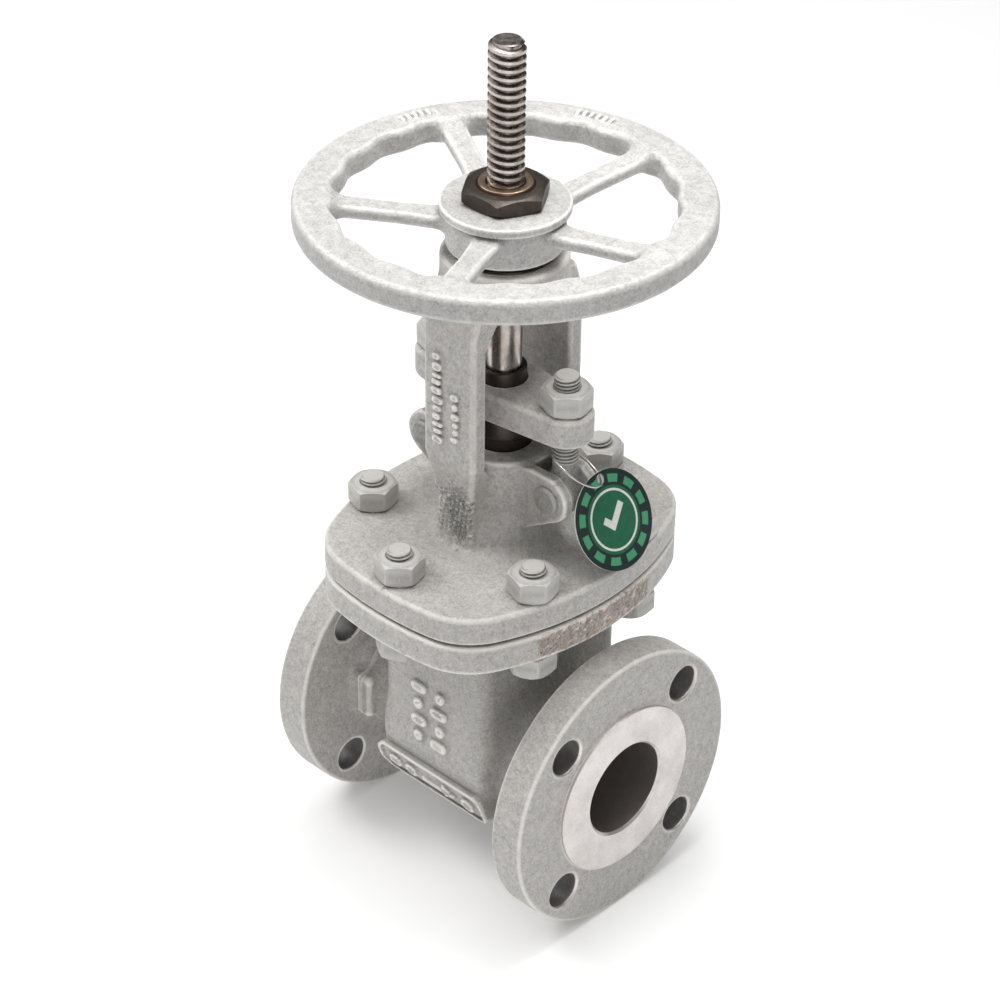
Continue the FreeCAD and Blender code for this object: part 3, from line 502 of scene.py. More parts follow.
def hexagon_nut(flats, height, bore, turn=0.0, washer=0.0, segments=144):
    """A nut standing on z = 0: both ends chamfered at 30 degrees, its bore countersunk."""
    sink = 0.9
    angle = np.arange(segments) * 2 * math.pi / segments
    outer = hexagon_radius(angle - turn, flats, 0.5)
    face = flats * 0.955
    drop = (outer - face) * math.tan(math.radians(30))
    if washer:
        foot = [(face, 0.0), (face, washer), (face + 0.15, washer), (outer, washer + drop)]
    else:
        foot = [(face - 0.25, 0.0), (face, 0.12), (outer, drop)]
    rows = [
        (bore, sink),
        (bore + sink, 0.0),
        *foot,
        (outer, height / 2),
        (outer, height - drop),
        (face, height - 0.12),
        (face - 0.25, height),
        (bore + sink, height),
        (bore, height - sink),
        (bore, sink),
    ]
    level = np.zeros(segments)
    points = [np.stack([r * np.cos(angle), r * np.sin(angle), level + z], -1) for r, z in rows]
    return np.concatenate(points), grid_faces(len(rows), segments)


def threaded(major, minor, pitch, low, high, chamfer, left=False, crest=0.25, root=0.25, segments=48):
    """A threaded bar from low to high whose ridges follow the helix; both ends are chamfered."""
    flank = (1 - crest - root) / 2
    phases = [0.0, crest, crest + flank, crest + flank + root]
    radii = [major, major, minor, minor]
    angle = np.arange(segments + 1) * 2 * math.pi / segments
    turns = int(math.ceil((high - low) / pitch)) + 2
    hand = 1.0 if left else -1.0
    lift = hand * pitch * angle / (2 * math.pi)
    rows = []
    for k in range(-2, turns + 1):
        for phase, r in zip(phases, radii):
            z = low + pitch * (k + phase) - lift
            cut = np.clip(z, low, high)
            ends = np.maximum(chamfer - (high - cut), 0.0), np.maximum(chamfer - (cut - low), 0.0)
            radius = np.minimum(np.where(z == cut, r, minor), major - ends[0] - ends[1])
            rows.append(np.stack([radius * np.cos(angle), radius * np.sin(angle), cut], -1))
    middle = np.zeros((segments + 1, 3))
    top = middle.copy()
    top[:, 2] = high
    middle[:, 2] = low
    rows = [middle] + rows + [top]
    points = np.concatenate(rows)
    return points, grid_faces(len(rows), segments + 1, around=False)


def moved(shape, x=0.0, y=0.0, z=0.0):
    points, faces = shape
    return np.asarray(points) + np.array([x, y, z]), faces


def swapped(shape, order):
    """The same shape with its axes in another order, kept the right way out."""
    points, faces = shape
    points = np.asarray(points)[:, order]
    odd = sum(order[i] > order[j] for i in range(3) for j in range(i + 1, 3)) % 2
    return points, [tuple(f)[::-1] for f in faces] if odd else faces


def mirrored(shape, axis):
    points, faces = shape
    points = np.asarray(points).copy()
    points[:, axis] *= -1
    return points, [tuple(f)[::-1] for f in faces]


def together(*shapes):
    """Several shapes as one list of points and faces."""
    points, faces, base = [], [], 0
    for p, f in shapes:
        points.append(np.asarray(p, float))
        faces += [tuple(int(i) + base for i in face) for face in f]
        base += len(p)
    return np.concatenate(points), faces


def make(name, shape, material, degrees=32.0):
    """A hard-edged piece. Points in the same place are merged and thin faces dropped."""
    piece = new_piece(name, shape[0], shape[1], material)
    work = bmesh.new()
    work.from_mesh(piece.data)
    bmesh.ops.remove_doubles(work, verts=work.verts, dist=2e-6)
    bmesh.ops.dissolve_degenerate(work, edges=work.edges, dist=1e-6)
    bmesh.ops.recalc_face_normals(work, faces=work.faces)
    work.to_mesh(piece.data)
    work.free()
    piece.data.polygons.foreach_set("use_smooth", [True] * len(piece.data.polygons))
    piece.data.set_sharp_from_angle(angle=math.radians(degrees))
    return piece


def finished(piece, body, slot, *nodes):
    """Hangs a piece on its body and stands it in for CAD nodes."""
    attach(piece, body)
    if nodes:
        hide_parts(*nodes)
    return piece


# Materials ---------------------------------------------------------------------------------------


def shade(colour, factor):
    """A colour made darker or lighter."""
    return tuple(min(1.0, c * factor) for c in colour)


class Nodes:
    """A node tree under construction."""

    def __init__(self, tree):
        self.tree = tree

    def node(self, kind, inputs=(), **attributes):
        """A new node. Each input, by name or number, is a plain value or another node's output."""
        made = self.tree.nodes.new(kind)
        for key, value in attributes.items():
            setattr(made, key, value)
        for key, value in dict(inputs).items():
            if isinstance(value, bpy.types.NodeSocket):
                self.tree.links.new(value, made.inputs[key])
            else:
                made.inputs[key].default_value = value
        return made


class Paint(Nodes):
    """A node material under construction."""

    def __init__(self, name):
        self.material = bpy.data.materials.new(name)
        self.material.use_nodes = True
        super().__init__(self.material.node_tree)
        self.tree.nodes.clear()
        self.shader = self.node("ShaderNodeBsdfPrincipled")
        self.node("ShaderNodeOutputMaterial", {"Surface": self.shader.outputs["BSDF"]})
        self.place = self.node("ShaderNodeTexCoord").outputs["Object"]

    def set(self, **values):
        """Gives the shader uniform values."""
        for key, value in values.items():
            self.shader.inputs[key.replace("_", " ")].default_value = value

    def feed(self, key, output):
        self.tree.links.new(output, self.shader.inputs[key])

    def noise(self, scale, detail=3.0, rough=0.55, distortion=0.0, stretch=None):
        place = self.place
        if stretch:
            place = self.node("ShaderNodeMapping", {"Scale": stretch, "Vector": place}).outputs["Vector"]
        inputs = {"Scale": scale, "Detail": detail, "Roughness": rough, "Distortion": distortion}
        return self.node("ShaderNodeTexNoise", {"Vector": place, **inputs}).outputs["Fac"]

    def cells(self, scale):
        inputs = {"Vector": self.place, "Scale": scale}
        return self.node("ShaderNodeTexVoronoi", inputs).outputs["Distance"]

    def spread(self, value, low, high, to_low=0.0, to_high=1.0):
        """A value's range from low to high stretched to another range, and held at its ends."""
        inputs = {"Value": value, "From Min": low, "From Max": high, "To Min": to_low, "To Max": to_high}
        return self.node("ShaderNodeMapRange", inputs).outputs["Result"]

    def sum(self, a, b, share):
        made = self.node("ShaderNodeMath", {0: b, 1: share, 2: a}, operation="MULTIPLY_ADD")
        return made.outputs["Value"]

    def blend(self, share, a, b):
        """A colour between a and b, each a colour or another blend."""
        ends = [(*c, 1.0) if isinstance(c, tuple) else c for c in (a, b)]
        mix = self.node("ShaderNodeMix", data_type="RGBA", inputs={"Factor": share})
        for name, end in zip("AB", ends):
            socket = next(i for i in mix.inputs if i.name == name and i.type == "RGBA")
            if isinstance(end, tuple):
                socket.default_value = end
            else:
                self.tree.links.new(end, socket)
        return next(o for o in mix.outputs if o.type == "RGBA")

    def bumps(self, *layers):
        """Bumps one over another, each (height, distance in metres, strength)."""
        below = {}
        for height, distance, strength in layers:
            inputs = {"Height": height, "Distance": distance, "Strength": strength, **below}
            below = {"Normal": self.node("ShaderNodeBump", inputs).outputs["Normal"]}
        self.feed("Normal", below["Normal"])

    def corners(self, low, high, most=1.0):
        """How far a surface stands out here, from 0 at the low end to most at the high end."""
        geometry = self.node("ShaderNodeNewGeometry")
        return self.spread(geometry.outputs["Pointiness"], low, high, 0.0, most)


def cast_paint(name, light, dark, gloss=0.45, grain=1.0):
    """Silver-grey enamel over sand-cast steel, with painted shade in its hollows and painted highlights on
    its edges.
    """
    p = Paint(name)
    broad = p.noise(28.0, 4.0, 0.6)
    lumps = p.noise(260.0, 4.0, 0.65)
    sand = p.noise(780.0, 3.0, 0.7)
    pits = p.spread(p.cells(430.0), 0.02, 0.16)
    base = p.blend(p.spread(broad, 0.3, 0.7), dark, light)
    base = p.blend(p.spread(lumps, 0.35, 0.7, 0.0, 0.8), base, shade(dark, 0.62))
    base = p.blend(p.spread(sand, 0.25, 0.6, 0.7, 0.0), base, shade(light, 1.3))
    base = p.blend(p.spread(pits, 0.0, 1.0, 0.5, 0.0), base, shade(dark, 0.4))
    # Painted shade: hollows and creases darkened towards a near-black.
    base = p.blend(p.corners(0.485, 0.43), base, shade(dark, 0.3))
    # Painted highlight: convex edges lightened as if catching light.
    base = p.blend(p.corners(0.512, 0.545, 0.85), base, shade(light, 1.75))
    p.feed("Base Color", base)
    p.feed("Roughness", p.spread(p.sum(sand, broad, 0.6), 0.5, 1.1, gloss - 0.1, gloss + 0.16))
    p.set(Metallic=0.0, Coat_Weight=0.08, Coat_Roughness=0.3)
    p.bumps(
        (broad, 0.0012, 0.35),
        (lumps, 0.0008 * grain, 0.9),
        (sand, 0.0004 * grain, 0.9),
        (pits, 0.0003 * grain, 0.7),
    )
    return p.material


def machined(name, light, dark):
    """Faced steel: fine turning marks round the X axis."""
    groove_pitch = 0.0008
    p = Paint(name)
    place = p.node("ShaderNodeSeparateXYZ", {"Vector": p.place}).outputs
    flat = p.node("ShaderNodeCombineXYZ", {"X": place["Y"], "Y": place["Z"]}).outputs["Vector"]
    radius = p.node("ShaderNodeVectorMath", {0: flat}, operation="LENGTH").outputs["Value"]
    phase = p.node("ShaderNodeMath", {0: radius, 1: 2 * math.pi / groove_pitch}, operation="MULTIPLY")
    groove = p.node("ShaderNodeMath", {0: phase.outputs["Value"]}, operation="SINE").outputs["Value"]
    stain = p.noise(60.0, 5.0, 0.65)
    grit = p.noise(900.0, 3.0, 0.6)
    base = p.blend(p.spread(stain, 0.35, 0.68), light, dark)
    p.feed("Base Color", p.blend(p.spread(grit, 0.4, 0.8, 0.0, 0.3), base, shade(dark, 0.6)))
    p.feed("Roughness", p.spread(p.sum(stain, grit, 0.5), 0.5, 1.0, 0.32, 0.55))
    p.set(Metallic=0.85)
    p.bumps((groove, 0.00004, 0.6), (grit, 0.00006, 0.6))
    return p.material


def steel(name, light, dark, gloss=0.28, metal=1.0, hollow_shade=0.5):
    """Bare or plated steel with painted shade in its hollows and painted highlights on its edges."""
    p = Paint(name)
    patches = p.noise(90.0, 4.0, 0.6)
    fine = p.noise(300.0, 3.0, 0.7, stretch=(1.0, 1.0, 0.25))
    grit = p.noise(1600.0, 2.0, 0.6)
    base = p.blend(p.spread(patches, 0.35, 0.7), light, dark)
    base = p.blend(p.spread(fine, 0.4, 0.8, 0.0, 0.35), base, shade(dark, 0.6))
    # Painted shade: hollows darkened towards a near-black, by the amount the last argument gives.
    base = p.blend(p.corners(0.5, 0.42, hollow_shade), base, shade(dark, 0.25))
    # Painted highlight: edges lightened as if catching light.
    p.feed("Base Color", p.blend(p.corners(0.52, 0.6, 0.6), base, shade(light, 1.3)))
    p.feed("Roughness", p.spread(p.sum(fine, patches, 0.7), 0.5, 1.2, gloss - 0.08, gloss + 0.2))
    p.set(Metallic=metal)
    p.bumps((fine, 0.00006, 0.5), (grit, 0.00003, 0.5))
    return p.material


def fibre_sheet(name, light, dark, scale=700.0):
    """Gasket sheet, packing or other dull fibre."""
    p = Paint(name)
    fibre = p.noise(scale, 4.0, 0.7, 0.6)
    patches = p.noise(50.0, 3.0, 0.6)
    p.feed("Base Color", p.blend(p.spread(p.sum(fibre, patches, 0.5), 0.5, 1.0), light, dark))
    p.feed("Roughness", p.spread(fibre, 0.3, 0.8, 0.65, 0.87))
    p.bumps((fibre, 0.00015, 0.7))
    return p.material


def printed(name, ink):
    """Printed and laminated card: even colour, slightly mottled, with a clear film."""
    p = Paint(name)
    mottle = p.noise(420.0, 3.0, 0.6)
    wave = p.noise(45.0, 2.0, 0.5)
    faded = tuple(c * 1.5 + 0.02 for c in ink)
    p.feed("Base Color", p.blend(p.spread(mottle, 0.3, 0.75, 0.0, 0.3), ink, faded))
    p.feed("Roughness", p.spread(wave, 0.3, 0.7, 0.3, 0.45))
    p.set(Coat_Weight=0.35, Coat_Roughness=0.12)
    p.bumps((wave, 0.0004, 0.3), (mottle, 0.00003, 0.4))
    return p.material


PAINT = cast_paint("valve_enamel", (0.495, 0.476, 0.45), (0.39, 0.375, 0.355))
# The wheel wears the valve's enamel; this slightly darker copy is painted shade for the wheel's dimmer
# sides.
SHADED_WHEEL_PAINT = cast_paint("wheel_enamel_shaded", (0.47, 0.46, 0.444), (0.38, 0.37, 0.36), 0.4, 0.8)
# Nuts and studs wear the valve's enamel; this darker copy is painted shade for their shaded sides.
SHADED_FASTENER = cast_paint("fastener_enamel_shaded", (0.31, 0.30, 0.285), (0.165, 0.16, 0.153), 0.34, 0.8)
FACED = machined("faced_steel", (0.75, 0.71, 0.695), (0.62, 0.58, 0.56))
BORE = steel("bored_steel", (0.24, 0.215, 0.20), (0.12, 0.105, 0.10), 0.38, 0.7)
STEM = steel("stem_steel", (0.57, 0.52, 0.49), (0.28, 0.24, 0.215), 0.22, 1.0, 0.97)
BRIGHT = steel("bright_steel", (0.62, 0.60, 0.58), (0.42, 0.40, 0.38), 0.24, 1.0)
BLACK = steel("blackened_steel", (0.075, 0.062, 0.052), (0.028, 0.022, 0.019), 0.36, 0.7, 0.4)
BRONZE = steel("bronze", (0.38, 0.28, 0.21), (0.17, 0.12, 0.085), 0.32, 0.9, 0.6)
ROUGH_EDGE = cast_paint("rough_edge", (0.50, 0.435, 0.395), (0.27, 0.22, 0.19), 0.6, 2.2)
# Rough cast enamel low on the yoke arms; its darker colour is partly painted shade.
ROUGH_SHADED_PAINT = cast_paint("rough_enamel_shaded", (0.36, 0.35, 0.335), (0.24, 0.233, 0.225), 0.55, 2.2)
# Painted shade: a dark material for the bolt holes' walls, where shade falls.
HOLE_SHADE = steel("hole_wall_shade", (0.25, 0.24, 0.23), (0.14, 0.133, 0.127), 0.5, 0.4)
GASKET = fibre_sheet("gasket_sheet", (0.07, 0.068, 0.065), (0.025, 0.025, 0.025))
PACKING = fibre_sheet("packing_yarn", (0.12, 0.12, 0.125), (0.05, 0.05, 0.052), 900.0)
WIRE = steel("tag_wire", (0.66, 0.65, 0.62), (0.45, 0.43, 0.40), 0.25, 1.0)
TAG_GREEN = printed("tag_green", (0.012, 0.11, 0.055))
TAG_WHITE = printed("tag_white", (0.62, 0.64, 0.60))
TAG_MINT = printed("tag_mint", (0.06, 0.27, 0.14))
TAG_DARK = printed("tag_dark", (0.008, 0.022, 0.02))


# Castings ----------------------------------------------------------------------------------------

BAND_Z = -18.5
BAND_HALF = (38.0, 10.0)
BAND_PROUD = 3.4
FRAME_WIDE = 1.8
FRAME_DEEP = 1.3
MARK_PROUD = 2.1
MARK_SUNK = 4.0
MARK_FILLET = 0.5
NECK_MARKS = [
    (-7.5, 40.0, 5.2, 2.6),
    (7.5, 40.0, 3.0, 3.0),
    (-8.0, 29.5, 3.0, 3.0),
    (6.5, 29.5, 5.6, 2.6),
    (-7.5, 19.0, 5.2, 2.6),
    (7.5, 19.0, 3.0, 3.0),
    (-8.0, 9.0, 3.0, 3.0),
    (6.5, 9.0, 5.6, 2.6),
]
BAND_MARKS = [(-26.0, BAND_Z, 4.0, 4.0), (-14.5, BAND_Z, 4.0, 4.0), (26.5, BAND_Z, 4.2, 4.2)]
HALF_ARROW = [(-6.0, 1.6), (9.0, 1.6), (9.0, 4.6), (18.0, 0.0)]
ARROW = [(x, BAND_Z - z) for x, z in HALF_ARROW] + [(x, BAND_Z + z) for x, z in HALF_ARROW[2::-1]]


def relief_marks(u, v, rows):
    """Raised plain bars on a face: each row is (middle u, middle v, half length, half height)."""
    bars = [rounded_rect(u - cu, v - cv, hu, hv, min(hu, hv) * 0.9) for cu, cv, hu, hv in rows]
    return functools.reduce(np.minimum, bars)


def lumps_of(x, y, z):
    """Uneven waves a few millimetres long, from -1 to 1."""
    a = np.sin(x * 1.9 + y * 1.3 + z * 0.7)
    b = np.sin(z * 2.1 - x * 0.6 + y * 0.5)
    return a * b * np.sin(y * 2.3 - z * 1.1 + x * 0.4)


def rough_edge(x, y, z):
    """Where the body's oval flange was left rough, on its outlet side: 1 there, 0 elsewhere."""
    rough = (x > 62.0) & (y > -42.0) & (y < 34.0) & (z > FLANGE_UNDER + 1.5) & (z < JOINT_LOW - 1.0)
    return rough.astype(float)


def body_solid(x, y, z):
    """Everything that was cast in one with the body, before the holes are cut."""
    ax = np.abs(x)
    radial = np.hypot(y, z)
    drum = disc(radial, x, DRUM_R, -DRUM_HALF, DRUM_HALF, 5.0)
    neck = all_of(rounded_rect(x, y, DRUM_HALF, NECK_HALF, 9.0), -z, z - NECK_TOP)
    nozzle = all_of(radial - NOZZLE_R, ax - NOZZLE_END)
    flange = disc(radial, ax, FLANGE_R, FLANGE_BACK, FLANGE_FACE, 1.6)
    outline = oval_outline(x, y) - 0.5 * lumps_of(x, y, z) * rough_edge(x, y, z)
    oval = slab(outline, z, FLANGE_UNDER, JOINT_LOW, 1.3)
    plate = rounded_rect(x, z - BAND_Z, *BAND_HALF, 7.0)
    recess = all_of(plate + FRAME_WIDE, DRUM_R + BAND_PROUD - FRAME_DEEP - radial)
    band = all_of(without(all_of(plate, radial - DRUM_R - BAND_PROUD), recess), y)
    raised = np.minimum(relief_marks(x, z, BAND_MARKS), polygon(x, z, ARROW))
    raised = all_of(raised, radial - DRUM_R - BAND_PROUD - 0.2, y)
    proud, sunk = NECK_HALF + MARK_PROUD, NECK_HALF - MARK_SUNK
    front = all_of(relief_marks(x, z, NECK_MARKS), -y - proud, y + sunk)
    back = all_of(relief_marks(-x, z, NECK_MARKS[:4]), y - proud, sunk - y)
    rib = rounded_box(x + 61.9, y + 21.0, z, (7.5, 21.0, 12.5), 3.0)
    return filleted(
        drum,
        (neck, 3.0),
        (nozzle, 15.0),
        (flange, 9.0),
        (oval, 7.0),
        (band, 0.8),
        (raised, MARK_FILLET),
        (front, MARK_FILLET),
        (back, MARK_FILLET),
        (rib, 4.0),
    )


def from_bolt(y, z):
    """Distance from the axis of the nearest bolt hole of an end flange."""
    return np.hypot(np.abs(y) - BOLT_OFF, np.abs(z) - BOLT_OFF)


def body_field(x, y, z):
    ax = np.abs(x)
    radial = np.hypot(y, z)
    flare = np.maximum(ax - FLANGE_FACE + 1.0, 0.0)
    width = np.where(z > 0, np.abs(y), radial)
    return without(
        body_solid(x, y, z),
        all_of(from_bolt(y, z) - BOLT_HOLE_R - flare, 55.0 - ax),
        radial - BORE_R,
        all_of(radial - RAISED_R + 0.5, FLANGE_FACE - 4.0 - ax),
        all_of(radial - SEAT_R - SEAT_GAP, ax - SEAT_END - SEAT_GAP),
        all_of(ax - CAVITY_HALF, width - CAVITY_R),
    )


# The end flanges are meshed apart from the middle, below the oval joint and past this distance
SPLIT = 62.0
SPLIT_Z = 82.5


def centre_field(x, y, z):
    return all_of(body_field(x, y, z), np.minimum(np.abs(x) - SPLIT, SPLIT_Z - z))


def end_field(side):
    """The field of one end flange: side is 1 at the outlet and -1 at the inlet."""
    return lambda x, y, z: all_of(body_field(x, y, z), SPLIT - side * x, z - SPLIT_Z)


# The bonnet with its stuffing box, eyebolt ears and yoke

EAR_OUTLINE = [
    (-1.0, 134.0),
    (24.5, 134.0),
    (48.0, 148.6),
    (53.0, 154.0),
    (46.0, STUFFING_TOP),
    (31.0, STUFFING_TOP),
    (10.0, 166.6),
    (-1.0, 166.6),
]
ARM_FACE = 38.0
BONNET_BORES = [  # radius, lowest and highest height
    (YOKE_POCKET_R, YOKE_POCKET_FLOOR, math.inf),
    (16.6, 240.0, math.inf),
    (14.7, BOX_FLOOR, 200.0),
    (24.0, -math.inf, 117.0),
    (9.6, -math.inf, 200.0),
]

rng = np.random.default_rng(7)


def column_of_bars(low, high, wide):
    """A column of plain raised bars of mixed lengths, one above another."""
    bars = []
    at = low
    while at < high:
        tall = float(rng.uniform(1.1, 2.6))
        half = float(rng.uniform(0.55, 1.0)) * wide
        bars.append((float(rng.uniform(-0.6, 0.6)), at + tall, half, tall * 0.8))
        at += 2 * tall + 1.3
    return bars


ARM_MARKS_LEFT = column_of_bars(182.0, 232.0, 3.4)
ARM_MARKS_RIGHT = column_of_bars(187.0, 214.0, 2.6)


def bonnet_field(x, y, z):
    ax, ay = np.abs(x), np.abs(y)
    radial = np.hypot(x, y)
    plate = slab(oval_outline(x, y), z, JOINT_HIGH, PLATE_TOP, 2.4)
    foot_r = np.interp(z, [PLATE_TOP, 126.0, 142.0], [34.0, 31.5, STUFFING_R])
    foot = all_of((radial - foot_r) * 0.93, np.abs(z - 128.0) - 14.0)
    box = disc(radial, z, STUFFING_R, 118.0, STUFFING_TOP, 1.6)
    outline = smooth_min(polygon(ax, z, EAR_OUTLINE), np.hypot(ax - EAR_X, z - EAR_Z) - EAR_R, 1.0)
    ears = slab(outline, y, -EAR_OUT, EAR_OUT, 1.2)
    ears = smooth_max(ears, -rounded_rect(ax - 47.0, y, 20.0, EAR_IN, 3.0), 1.0)
    outer = np.interp(z, [148.0, 174.0, 246.0, 262.0], [34.0, ARM_FACE, ARM_FACE, 33.0])
    inner = np.interp(z, [160.0, 172.0, 238.0, 254.0], [20.0, 28.5, 28.5, 18.5])
    half = np.interp(z, [148.0, 174.0], [11.5, 17.0])
    arm = rounded_rect(x, ay - (outer + inner) / 2, half, (outer - inner) / 2, 2.6)
    arm = all_of(arm, np.abs(z - 190.0) - 72.0)
    hub = disc(radial, z, YOKE_HUB_R, YOKE_HUB_LOW, YOKE_TOP, 2.0)
    left, right = relief_marks(x + 6.5, z, ARM_MARKS_LEFT), relief_marks(x - 5.5, z, ARM_MARKS_RIGHT)
    marks = all_of(np.minimum(left, right), ay - ARM_FACE - 1.6, ARM_FACE - 2.0 - ay)
    parts = (box, 3.0), (plate, 5.0), (ears, 4.0), (arm, 5.0), (hub, 6.0), (marks, MARK_FILLET)
    solid = filleted(foot, *parts)
    fades = (158.0 - z) / 5.0, (ay - 31.0) / 2.0, (z - 127.0) / 4.0
    rough = math.prod(np.clip(fade, 0, 1) for fade in fades)
    solid = solid - 0.9 * lumps_of(x, 0.0, z) * rough * (np.abs(solid) < 3.0)
    return without(solid, *(all_of(radial - r, low - z, z - high) for r, low, high in BONNET_BORES))


# The handwheel

RIM_TOP = HUB_TOP + 2.5
RIM_HALF = 6.5
HUB_R = 30.0
CAP_R = 31.5
SPOKE_HALF = 3.4
RIM_MARKS_AT = math.radians(134.0)
RIM_MARKS = [(side * (36.0 + 3.6 * i), 0.0, 0.7, 2.6) for side in (-1, 1) for i in range(6)]


def handwheel_field(x, y, z):
    radial = np.hypot(x, y)
    angle = np.arctan2(y, x)
    turn = 2 * math.pi / SPOKE_COUNT
    off = (angle - math.radians(SPOKE_ANGLE) + turn / 2) % turn - turn / 2
    wave = 0.9 * np.cos(off * SPOKE_COUNT * 4)
    inner = RIM_INNER + 0.9 - wave
    middle = (inner + WHEEL_R) / 2
    rim = rounded_rect(radial - middle, z - (RIM_TOP - RIM_HALF), (WHEEL_R - inner) / 2, RIM_HALF, 3.2)
    hub_r = np.interp(z, [HUB_LOW, HUB_TOP - 8.0], [28.0, 29.2])
    hub_middle, hub_half = (HUB_LOW + HUB_TOP) / 2, (HUB_TOP - HUB_LOW) / 2
    hub = rounded_rect(radial - hub_r + HUB_R, z - hub_middle, HUB_R, hub_half, 1.2)
    cap = disc(radial, z, CAP_R, HUB_TOP - 4.5, HUB_TOP, 0.9)
    u = radial * np.cos(off)
    v = radial * np.sin(off)
    spoke_top = np.interp(u, [24.0, 84.5], [295.0, 302.4])
    width = np.interp(u, [26.0, 50.0, 84.0], [7.6, 6.0, 6.6])
    spoke = rounded_rect(v, z - spoke_top + SPOKE_HALF, width, SPOKE_HALF, 2.4)
    spoke = all_of(spoke, 20.0 - u, u - 90.0)
    arc = (angle - RIM_MARKS_AT + math.pi) % (2 * math.pi) - math.pi
    marks = all_of(relief_marks(arc * middle, radial - middle, RIM_MARKS), np.abs(z - RIM_TOP) - 0.9)
    solid = filleted(rim, (spoke, 7.0), (hub, 5.0), (cap, 0.8), (marks, 0.4))
    return all_of(solid, SLEEVE_R - radial)


def gland_field(x, y, z):
    outline = capsule_chain(x, y, ((0.0, 19.5), (EAR_X, 13.5)))
    plate = slab(outline, z, GLAND_FOOT, GLAND_TOP, 2.4)
    return without(plate, np.hypot(x, y) - 12.0, np.hypot(np.abs(x) - EAR_X, y) - STUD_HOLE_R)


def eye_field(x, y, z):
    from_pin = np.hypot(x, z - EAR_Z)
    ring = rounded_rect(from_pin, y, 11.0, 6.4, 1.4)
    shank = all_of(np.hypot(x, y) - STUD_R, EAR_Z - z, z - 178.0)
    return all_of(smooth_min(ring, shank, 5.0), 5.05 - from_pin)


# Pieces ------------------------------------------------------------------------------------------


def add(name, shape, material, body, slot, *nodes, degrees=32.0):
    """Makes a hard-edged piece and finishes it."""
    finished(make(name, shape, material, degrees), body, slot, *nodes)


def shaded_hole_walls(x, y, z):
    """The walls of the end flanges' bolt holes, which get a dark material as painted shade."""
    ax = np.abs(x)
    return (from_bolt(y, z) < BOLT_HOLE_R + 0.7) & (ax > FLANGE_BACK + 0.6) & (ax < FLANGE_FACE - 0.95)


def chamfered(x, y, z):
    """The bare chamfers where those holes open on the face."""
    return (from_bolt(y, z) < BOLT_HOLE_R + 1.0) & (np.abs(x) >= FLANGE_FACE - 0.95)


def worn_edge(x, y, z):
    """The middle part of the rough edge, with a ragged outline."""
    return (rough_edge(x, y, z) > 0) & (oval_outline(x, y) > -2.0 + 1.2 * lumps_of(x, y, z))


def rough_shaded_foot(x, y, z):
    """A ragged patch low on the outside of each yoke arm: rough casting, its darker colour partly painted
    shade.
    """
    reach = np.hypot((x - 4.0) / 8.0, (z - 143.0) / 16.0)
    return (np.abs(y) > 32.0) & (reach < 1.0 + 0.5 * lumps_of(x, 0.0, z))


coarse = 1.0

centre = cast("body_casting", centre_field, (-73, -88, -56), (73, 88, 108), PAINT, 1.35 * coarse)
patch(centre, ROUGH_EDGE, worn_edge)
finished(centre, "valve_body", "cast_paint", "body")

for side, name in ((1, "outlet_flange"), (-1, "inlet_flange")):
    near, far = sorted((side * 61.0, side * 90.0))
    flange = cast(name, end_field(side), (near, -78, -78), (far, 78, 84), PAINT, 0.95 * coarse)
    # The bolt holes' walls get a dark material: painted shade.
    patch(flange, HOLE_SHADE, shaded_hole_walls)
    patch(flange, FACED, chamfered)
    finished(flange, "valve_body", "cast_paint")

# Turned rings of the end flanges, as (radius, distance from the middle)
RAISED_FACE = [
    (BORE_R + 1.2, HALF_RUN),
    (RAISED_R, HALF_RUN),
    (RAISED_R, FLANGE_FACE - 3.8),
    (BORE_R, FLANGE_FACE - 3.8),
    (BORE_R, HALF_RUN - 1.2),
]
BORE_WALL = [
    (BORE_R - 0.05, SEAT_END + 0.3),
    (BORE_R - 0.05, HALF_RUN - 1.3),
    (BORE_R + 0.6, HALF_RUN - 1.3),
    (BORE_R + 0.6, SEAT_END + 0.3),
]
for name, profile, segments, finish in (
    ("raised_face", eased(RAISED_FACE, [0.0, 0.5, 0.0, 0.0, 0.0]), 144, FACED),
    ("bore", BORE_WALL, 96, BORE),
):
    outlet = swapped(turned(profile, segments), [2, 1, 0])
    add("outlet_" + name, outlet, finish, "valve_body", "cast_paint")
    add("inlet_" + name, mirrored(outlet, 0), finish, "valve_body", "cast_paint")

bonnet = cast("bonnet_casting", bonnet_field, (-73, -87, 106), (73, 87, 278), PAINT, 1.1 * coarse)
# The rough patch on the arms is darker, partly as painted shade.
patch(bonnet, ROUGH_SHADED_PAINT, rough_shaded_foot)
finished(bonnet, "valve_body", "cast_paint", "bonnet")

low, high = (-101, -101, 278), (101, 101, 306)
wheel = cast("handwheel_casting", handwheel_field, low, high, SHADED_WHEEL_PAINT, 1.05 * coarse)
finished(wheel, "handwheel_assembly", "wheel_paint", "handwheel")

gland = cast("gland_plate", gland_field, (-57, -21, 189), (57, 21, 207), PAINT, 0.8 * coarse)
finished(gland, "valve_body", "cast_paint", "gland_flange")


def stud_thread(low, high):
    """A length of stud thread."""
    return threaded(STUD_R, STUD_R - STUD_DEPTH, STUD_PITCH, low, high, STUD_CHAMFER)


def stud_nut(height, turn):
    return hexagon_nut(NUT_FLATS_R, height, STUD_R - 0.3, turn, NUT_WASHER)


